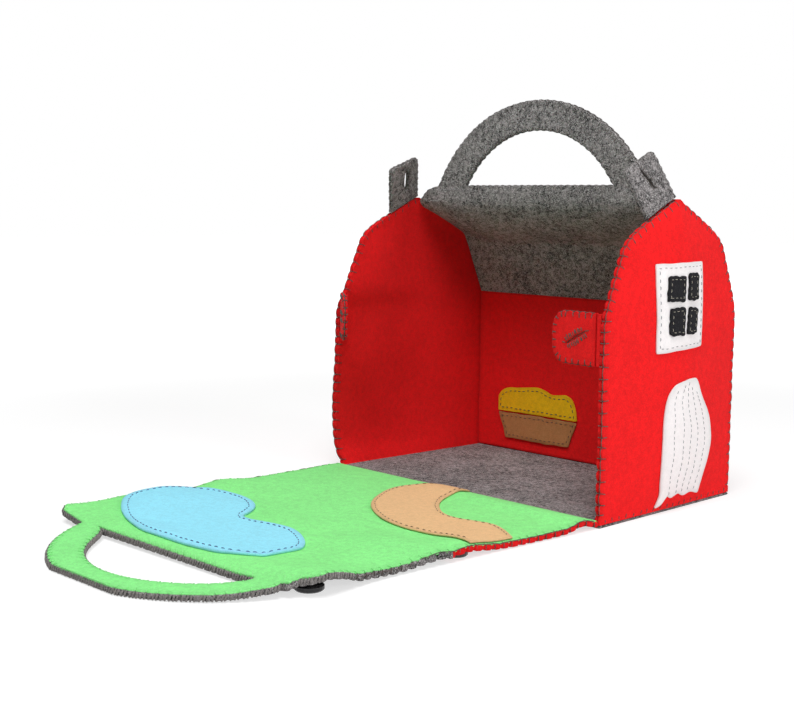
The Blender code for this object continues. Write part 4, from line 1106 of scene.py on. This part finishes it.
def wobbly(points, amount, seed, step=0.9):
    """A hand-cut version of an outline: corners softened, and each point moved a little."""
    line = spaced(points + points[:1], step)[:-1]
    count = len(line)
    kernel = np.array([1, 2, 3, 2, 1]) / 9
    for k in (0, 1):
        line[:, k] = np.convolve(np.concatenate([line[-2:, k], line[:, k], line[:2, k]]), kernel, "valid")
    t = np.arange(count) / count * 2 * pi
    dice = np.random.default_rng(seed)
    for wave in (3, 5, 8, 13):
        line += amount * 0.5 * np.stack([np.sin(wave * t + dice.uniform(0, 6)) for k in (0, 1)], 1)
    return np.concatenate([line, line[:1]])


def patch(word, cut, place, foot, colour):
    """A thin felt picture that lies on the felt under it, with its lower face at the height foot."""
    felt_piece(f"{word}_felt", cut, place, foot + PATCH_HALF, colour, "barn", [word],
               half=PATCH_HALF)


PATCH_TOP = SEAM + PATCH
frame_line = wobbly([(-30.8, 111.8), (20.2, 114.6), (20.4, 172.8), (-32.5, 171.6)], 0.15, 3)
patch("window_frame", disc(frame_line, (-5.5, 142.5), middle=8), right_wall, SEAM, "white")
groups = running(inset(frame_line, 3.0), right_wall, PATCH_TOP + 0.05, 2.6, 2.2, 17)
thread_piece("window_frame_stitches", groups, "ash", "barn", 0.22)
panes = {"lower_front": [(-20.6, 124), (-5.4, 123.3), (-5.0, 142.6), (-20.2, 142.2)],
         "lower_back": [(-2.4, 123.8), (9.4, 124.2), (10.6, 141.2), (-1.2, 142.6)],
         "upper_front": [(-23.6, 146.4), (-5.8, 146.6), (-4.6, 163.6), (-21.6, 163.4)],
         "upper_back": [(-2.2, 147), (10.8, 146.8), (11.6, 165.0), (-1.0, 165.4)]}
pane_foot = 2 * SEAM + PATCH
for seed, (word, corners) in enumerate(panes.items()):
    line = wobbly(corners, 0.4, 20 + seed)
    middle = np.mean(corners, axis=0)
    patch(f"window_pane_{word}", disc(line, middle, middle=5), right_wall, pane_foot, "black")
    groups = running(inset(line, 2.4), right_wall, pane_foot + PATCH, 2.4, 1.6, 30 + seed, 0.15)
    thread_piece(f"window_pane_{word}_stitches", groups, "cream", "barn", 0.13)
print("window:", made_sizes["window_frame_felt"])

# %% Sew the door
DOOR = [(0.00, 0.09, 0.83), (0.06, 0.06, 0.85), (0.16, 0.035, 0.89), (0.28, 0.02, 0.955),
        (0.425, 0.01, 1.00), (0.54, 0.005, 0.975), (0.63, 0.00, 0.935), (0.71, 0.005, 0.87),
        (0.77, 0.015, 0.80), (0.83, 0.035, 0.73), (0.89, 0.07, 0.67), (0.94, 0.13, 0.63),
        (0.97, 0.20, 0.60), (0.99, 0.33, 0.57), (1.00, 0.42, 0.54)]
FOOT_CUT = [(0.80, -0.005), (0.66, 0.02), (0.52, 0.005), (0.40, 0.035), (0.28, 0.01), (0.2, 0.03),
            (0.12, -0.035), (0.03, -0.05), (0.045, 0.0)]


def on_door(across, up):
    """The place on the gable of a share of the door's width and of its height."""
    return -21.4 + 64.4 * across, 9.5 + 83.5 * up


ups, nears, fars = np.array(DOOR).T
near = [on_door(a, up) for up, a, _ in DOOR[1:]]
far = [on_door(b, up) for up, _, b in DOOR]
foot = [on_door(*spot) for spot in FOOT_CUT]
door_line = evenly(curved(far + near[::-1] + foot[::-1], True, 6), 220)
patch("barn_door", disc(door_line, (8, 48), middle=10), right_wall, SEAM, "white")
groups = []
for k, share in enumerate((0.18, 0.35, 0.5, 0.66, 0.83)):
    up = np.linspace(0.03, 0.985 - 0.25 * abs(share - 0.45), 24)
    a, b = np.interp(up, ups, nears), np.interp(up, ups, fars)
    at = a + (b - a) * share + 0.008 * np.sin(up * 21 + k)
    groups += running(np.stack(on_door(at, up), 1), right_wall, PATCH_TOP, 2.9, 0.9, 40 + k, 0.15)
thread_piece("barn_door_stitches", groups, "ash", "barn", 0.17)
print("door:", made_sizes["barn_door_felt"])

# %% [markdown]
# ## Hay in its trough
# Inside, on the back wall, a heap of hay is laid over a brown trough, both outlined with dark
# running stitches.

# %% Sew the hay and the trough
def inside_back(x, z, h):
    """On the back wall's inner face: h stands towards the front."""
    return standing(x, z, -BOARD - h)


HAY = [(0.00, 0.55), (0.04, 0.72), (0.12, 0.86), (0.24, 0.90), (0.36, 0.95), (0.50, 1.00), (0.60, 0.93),
       (0.68, 0.82), (0.77, 0.84), (0.86, 0.87), (0.94, 0.72), (0.98, 0.42)]
straw = curved([(-97 + 85 * x, 36.5 + 23.5 * z) for x, z in HAY])
heap = evenly(np.concatenate([[(-97, 36.9)], straw, [(-12, 36.9), (-97, 36.9)]])[::-1], 150)
patch("hay_heap", disc(heap, (-54, 46), middle=8), inside_back, SEAM, "yellow")
box = wobbly([(-88, 14.3), (-21, 14.3), (-12.3, 35.8), (-96.7, 35.8)], 0.3, 9)
patch("trough", disc(box, (-54, 25), middle=7), inside_back, SEAM, "brown")
groups = running(inset(counter_clockwise(heap), 3.0), inside_back, PATCH_TOP + 0.05, 2.8, 2.0, 50)
thread_piece("hay_heap_stitches", groups, "ink", "barn", 0.3)
groups = running(inset(box, 2.6), inside_back, PATCH_TOP + 0.05, 2.6, 2.2, 51)
thread_piece("trough_stitches", groups, "ink", "barn", 0.24)
print("hay:", made_sizes["hay_heap_felt"])

# %% [markdown]
# ## Tabs
# Four small double tabs close the barn over its buttons. Each has a slit worked as a buttonhole, with
# the thread close round it. A side tab turns on a rolled seam just inside the gable.

# %% Sew the tabs
def in_frame(origin, x_way, y_way, z_way, skewed):
    """The flat tab on its own three directions, with a slow wave. The skewed one was cut longer on its
    front side and sewn a little nearer to the ridge."""
    origin, ways = np.array(origin, float), np.array([x_way, y_way, z_way], float)

    def place(x, y, h):
        if skewed:
            x, y = x * 0.94 - 1.8, y * (1.10 + 0.003 * x)
        wave = 0.5 * ripple(x, y, 40, 17) * np.clip((y - 6) / 20, 0, 1)
        return origin + np.stack(np.broadcast_arrays(x, y, h + wave), axis=-1) @ ways
    return place


def leaned(flat, angle):
    """Flat points turned by an angle: (x cos - y sin, y cos + x sin)."""
    x, y = flat.T
    return np.stack([x * cos(angle) - y * sin(angle), y * cos(angle) + x * sin(angle)], 1)


def tab_outlines(width, root, length, rounding, slit, count=120):
    """The outline runs counter-clockwise from the root's right corner. The slit is an ellipse that
    takes each outline point's direction from the tab's middle. slit says half its width, half its
    length, how far it leans, and how far its middle lies from the tab's."""
    r, w, end = rounding, width / 2, root + length
    thin, tall, lean, aside, along = slit
    turn = np.linspace(0, pi / 2, 7)
    right = np.stack([w - r + r * np.cos(turn), end - r + r * np.sin(turn)], 1)
    left = np.stack([-w + r - r * np.sin(turn), end - r + r * np.cos(turn)], 1)
    free = np.concatenate([[(w, root)], right, left, [(-w, root)]])
    uneven = np.stack([ripple(free[:, 0], free[:, 1], 13, seed) for seed in (4, 6)], 1)
    free = free + 0.35 * uneven * (free[:, 1:] > root + 1)
    foot = evenly(np.array([(-w, root), (w, root)]), 21)
    outline = np.concatenate([evenly(free, count - 20)[:-1], foot[:-1]])
    middle = np.array([aside, root + 18.5 + along])
    way = outline - middle
    turned = leaned(way, -lean) / [w, length / 2]
    turned *= np.array([thin, tall]) / np.linalg.norm(turned, axis=1, keepdims=True)
    return middle + leaned(turned, lean), outline, free


SIDE_SEAMS = {"right": (125.7, -73.2, 123), "left": (-130.2, -73.2, 123)}
TABS = {     # origin, directions of the width, the length and the face, the cut, its colour and slit
    "right_side_tab": (SIDE_SEAMS["right"], (0, 0, 1), (-0.99863, 0.052336, 0), (-0.052336, -0.99863, 0),
                       (35, 5.1, 38, 12), "red", (1.0, 9.5, 0.5, 0.5, -1.5)),
    "left_side_tab": (SIDE_SEAMS["left"], (0, 0, -1), (0.788011, -0.615662, 0), (-0.615662, -0.788011, 0),
                      (34, 5.1, 38, 10), "red", (0.9, 9.5, 0.0, 0, 0)),
    "right_peak_tab": ((124.11, -15.989, 207.291), (0, 0.900769, 0.434299), (-0.258819, -0.419501, 0.870076),
                       (0.965926, -0.112405, 0.233136), (34.5, 0.7, 35.5, 4), "grey", (1.25, 9.5, 0.26, 0, 4)),
    "left_peak_tab": ((-124.11, -15.989, 207.291), (0, -0.900769, -0.434299), (0.406737, -0.396752, 0.822893),
                      (-0.913545, -0.176645, 0.366375), (34.5, 0.7, 35, 4), "grey", (2.4, 9.0, 0.0, -2.0, 2)),
}
SEWN = {     # thread of the seam, buttonhole's pitch, arm and radius
    "red": ("taupe", 1.7, 4.0, 0.36),
    "grey": ("smoke", 2.4, 2.2, 0.28),
}
for seed, (word, (origin, xw, yw, zw, shape, colour, slit_plan)) in enumerate(TABS.items()):
    thread, slit_pitch, slit_arm, slit_radius = SEWN[colour]
    place = in_frame(origin, xw, yw, zw, word == "left_peak_tab")
    slit, outline, free = tab_outlines(*shape, slit_plan)
    cut = ring(slit, outline, [(free, 90 + seed, 5.6, False)], middle=5)
    for layer, mid in (("lining", 0.75), ("outer", 2.55)):
        felt_piece(f"{word}_{layer}_felt", cut, place, mid, colour, word, [f"{word}_{layer}"], half=0.75)
    groups = blanket(free, 90 + seed, place, 3.3, 0, 5.6, arm=4.0)
    thread_piece(f"{word}_stitches", groups, thread, word, 0.34)
    closed_slit = np.concatenate([slit, slit[:1]])[::-1]
    groups = blanket(closed_slit, 95 + seed, place, 3.3, 0, slit_pitch, True, arm=slit_arm)
    thread_piece(f"{word}_buttonhole", groups, "ink", word, slit_radius)
print("tab:", made_sizes["right_side_tab_outer_felt"])

# %% Roll the side tabs' seams
for word, side in (("right", 1), ("left", -1)):
    origin = SIDE_SEAMS[word]
    angle = np.linspace(np.arccos(3.3 / 4.8), pi / 2, 9)
    roll = np.stack([4.8 * np.sin(angle), 4.8 * np.cos(angle)], 1)
    inner = np.stack([np.full(9, 0.6), np.linspace(3.3, 0.1, 9)], 1)
    outline = evenly(np.concatenate([roll, inner[::-1], roll[:1]]), 60)

    def place(a, z, h, side=side, origin=origin):
        """The roll's section is a closed line of 60 points, carried straight up the seam."""
        spot = at_distance(outline, np.mod(a, measured(outline)[-1]))
        x, y = origin[0] - side * (spot[..., 0] + 0 * z), origin[1] - spot[..., 1] + 0 * z
        return np.stack([x, y, origin[2] + z + 0 * a], -1)

    count = 44
    a = np.linspace(0, measured(outline)[-1], count + 1)[:-1]
    z = spaced([(0, -16.9), (0, 16.9)], 1.7)[:, 1]
    grid = place(a[None] + 0 * z[:, None], z[:, None] + 0 * a[None], 0)
    index = np.arange(grid.shape[0] * count).reshape(-1, count)
    wrap = np.roll(index, -1, axis=1)
    quads = np.stack([index[:-1], index[1:], wrap[1:], wrap[:-1]], -1).reshape(-1, 4)
    caps = np.stack([index[0], index[-1, ::-1]])
    rim = np.full(grid.shape[:2], 0.4)
    seam = write_mesh(f"{word}_side_tab_roll", grid, [quads, caps], rim)
    seam.data.materials.append(FELTS["red"])
    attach(seam, "barn")
    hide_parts(f"{word}_side_tab_seam")
print("pieces so far:", len(made_sizes))

# %% [markdown]
# ## Studio
# A plain pale floor, a pale room that only the camera sees as white, one large soft lamp high in
# front on the right, one low on the right and a weak one above on the left. Near the barn half of the
# floor's colour is lit, so that it shows the soft shadow under the mat. Further out none of it is.

# %% Floor, room and lamps
def lamp(name, place, target, size, power):
    data = bpy.data.lights.new(name, "AREA")
    data.shape, data.size, data.energy = "DISK", size, power
    made = bpy.data.objects.new(name, data)
    bpy.context.scene.collection.objects.link(made)
    made.location = place
    made.rotation_euler = (Vector(target) - Vector(place)).to_track_quat("-Z", "Y").to_euler()


def seen_directly(tree):
    """1 where the camera looks straight, by a reflection or through something, and 0 for lighting."""
    rays = node(tree, "ShaderNodeLightPath").outputs
    seen = math(tree, "MAXIMUM", rays["Is Glossy Ray"], rays["Is Transmission Ray"])
    return math(tree, "MAXIMUM", rays["Is Camera Ray"], seen)


CORNERS = [(-6000, -6000), (6000, -6000), (6000, 6000), (-6000, 6000)]
slab = np.array([(x, y, z) for z in (0, -20) for x, y in CORNERS], float)
sides = np.array([(0, 1, 2, 3), (4, 7, 6, 5), (0, 4, 5, 1), (1, 5, 6, 2), (2, 6, 7, 3), (3, 7, 4, 0)])
ground = write_mesh("studio_floor", slab, [sides])
paper = bpy.data.materials.new("studio paper")
paper.use_nodes = True
tree = paper.node_tree
tree.nodes.clear()
matte = node(tree, "ShaderNodeBsdfDiffuse", {"Color": (0.86, 0.86, 0.86, 1)})
glow = node(tree, "ShaderNodeEmission", {"Color": (1, 1, 1, 1), "Strength": 1.3})
coords = node(tree, "ShaderNodeTexCoord").outputs["Object"]
far = node(tree, "ShaderNodeVectorMath", {0: coords}, operation="LENGTH").outputs["Value"]
glowing = math(tree, "MULTIPLY", seen_directly(tree), remap(tree, far, 0.45, 1.3, 0.5, 1.0))
mix = node(tree, "ShaderNodeMixShader", {0: glowing, 1: matte.outputs[0], 2: glow.outputs[0]})
tree.links.new(mix.outputs[0], node(tree, "ShaderNodeOutputMaterial").inputs[0])
ground.data.materials.append(paper)

room = bpy.data.worlds.new("studio room")
bpy.context.scene.world = room
room.use_nodes = True
tree = room.node_tree
tree.nodes.clear()
strength = node(tree, "ShaderNodeMapRange", {0: seen_directly(tree), 1: 0.0, 2: 1.0, 3: 0.15, 4: 1.0}).outputs[0]
sky = node(tree, "ShaderNodeBackground", {"Color": (1, 1, 1, 1), "Strength": strength})
tree.links.new(sky.outputs[0], node(tree, "ShaderNodeOutputWorld").inputs[0])

lamp("key softbox", (0.75, -1.0, 2.1), (0, -0.1, 0.08), 1.3, 38)
lamp("side softbox", (1.7, 0.1, 0.7), (0, 0, 0.1), 0.8, 11)
lamp("top softbox", (-0.2, -0.6, 1.9), (0, -0.1, 0), 1.2, 7)

# %% [markdown]
# ## Camera
# The camera stands in front of the barn's right corner, a little over the table, and looks down by
# six and a half degrees. Its place was worked out from the barn's own corners.

# %% Camera
camera_data = bpy.data.cameras.new("photo camera")
camera = bpy.data.objects.new("photo camera", camera_data)
bpy.context.scene.collection.objects.link(camera)
yaw, pitch, roll = 0.8143, 0.1152, 0.0115
ahead = Vector((-sin(yaw) * cos(pitch), cos(yaw) * cos(pitch), -sin(pitch)))
right = Vector((cos(yaw), sin(yaw), 0))
up = right.cross(ahead)
turned_right, turned_up = cos(roll) * right + sin(roll) * up, cos(roll) * up - sin(roll) * right
basis = Matrix((turned_right, turned_up, -ahead)).transposed().to_4x4()
camera.matrix_world = Matrix.Translation((0.6563, -0.7579, 0.2095)) @ basis
camera_data.sensor_width, camera_data.lens, camera_data.clip_start = 36, 1331.2 / 794 * 36, 0.01
bpy.context.scene.camera = camera
bpy.context.scene.view_settings.view_transform = "Standard"
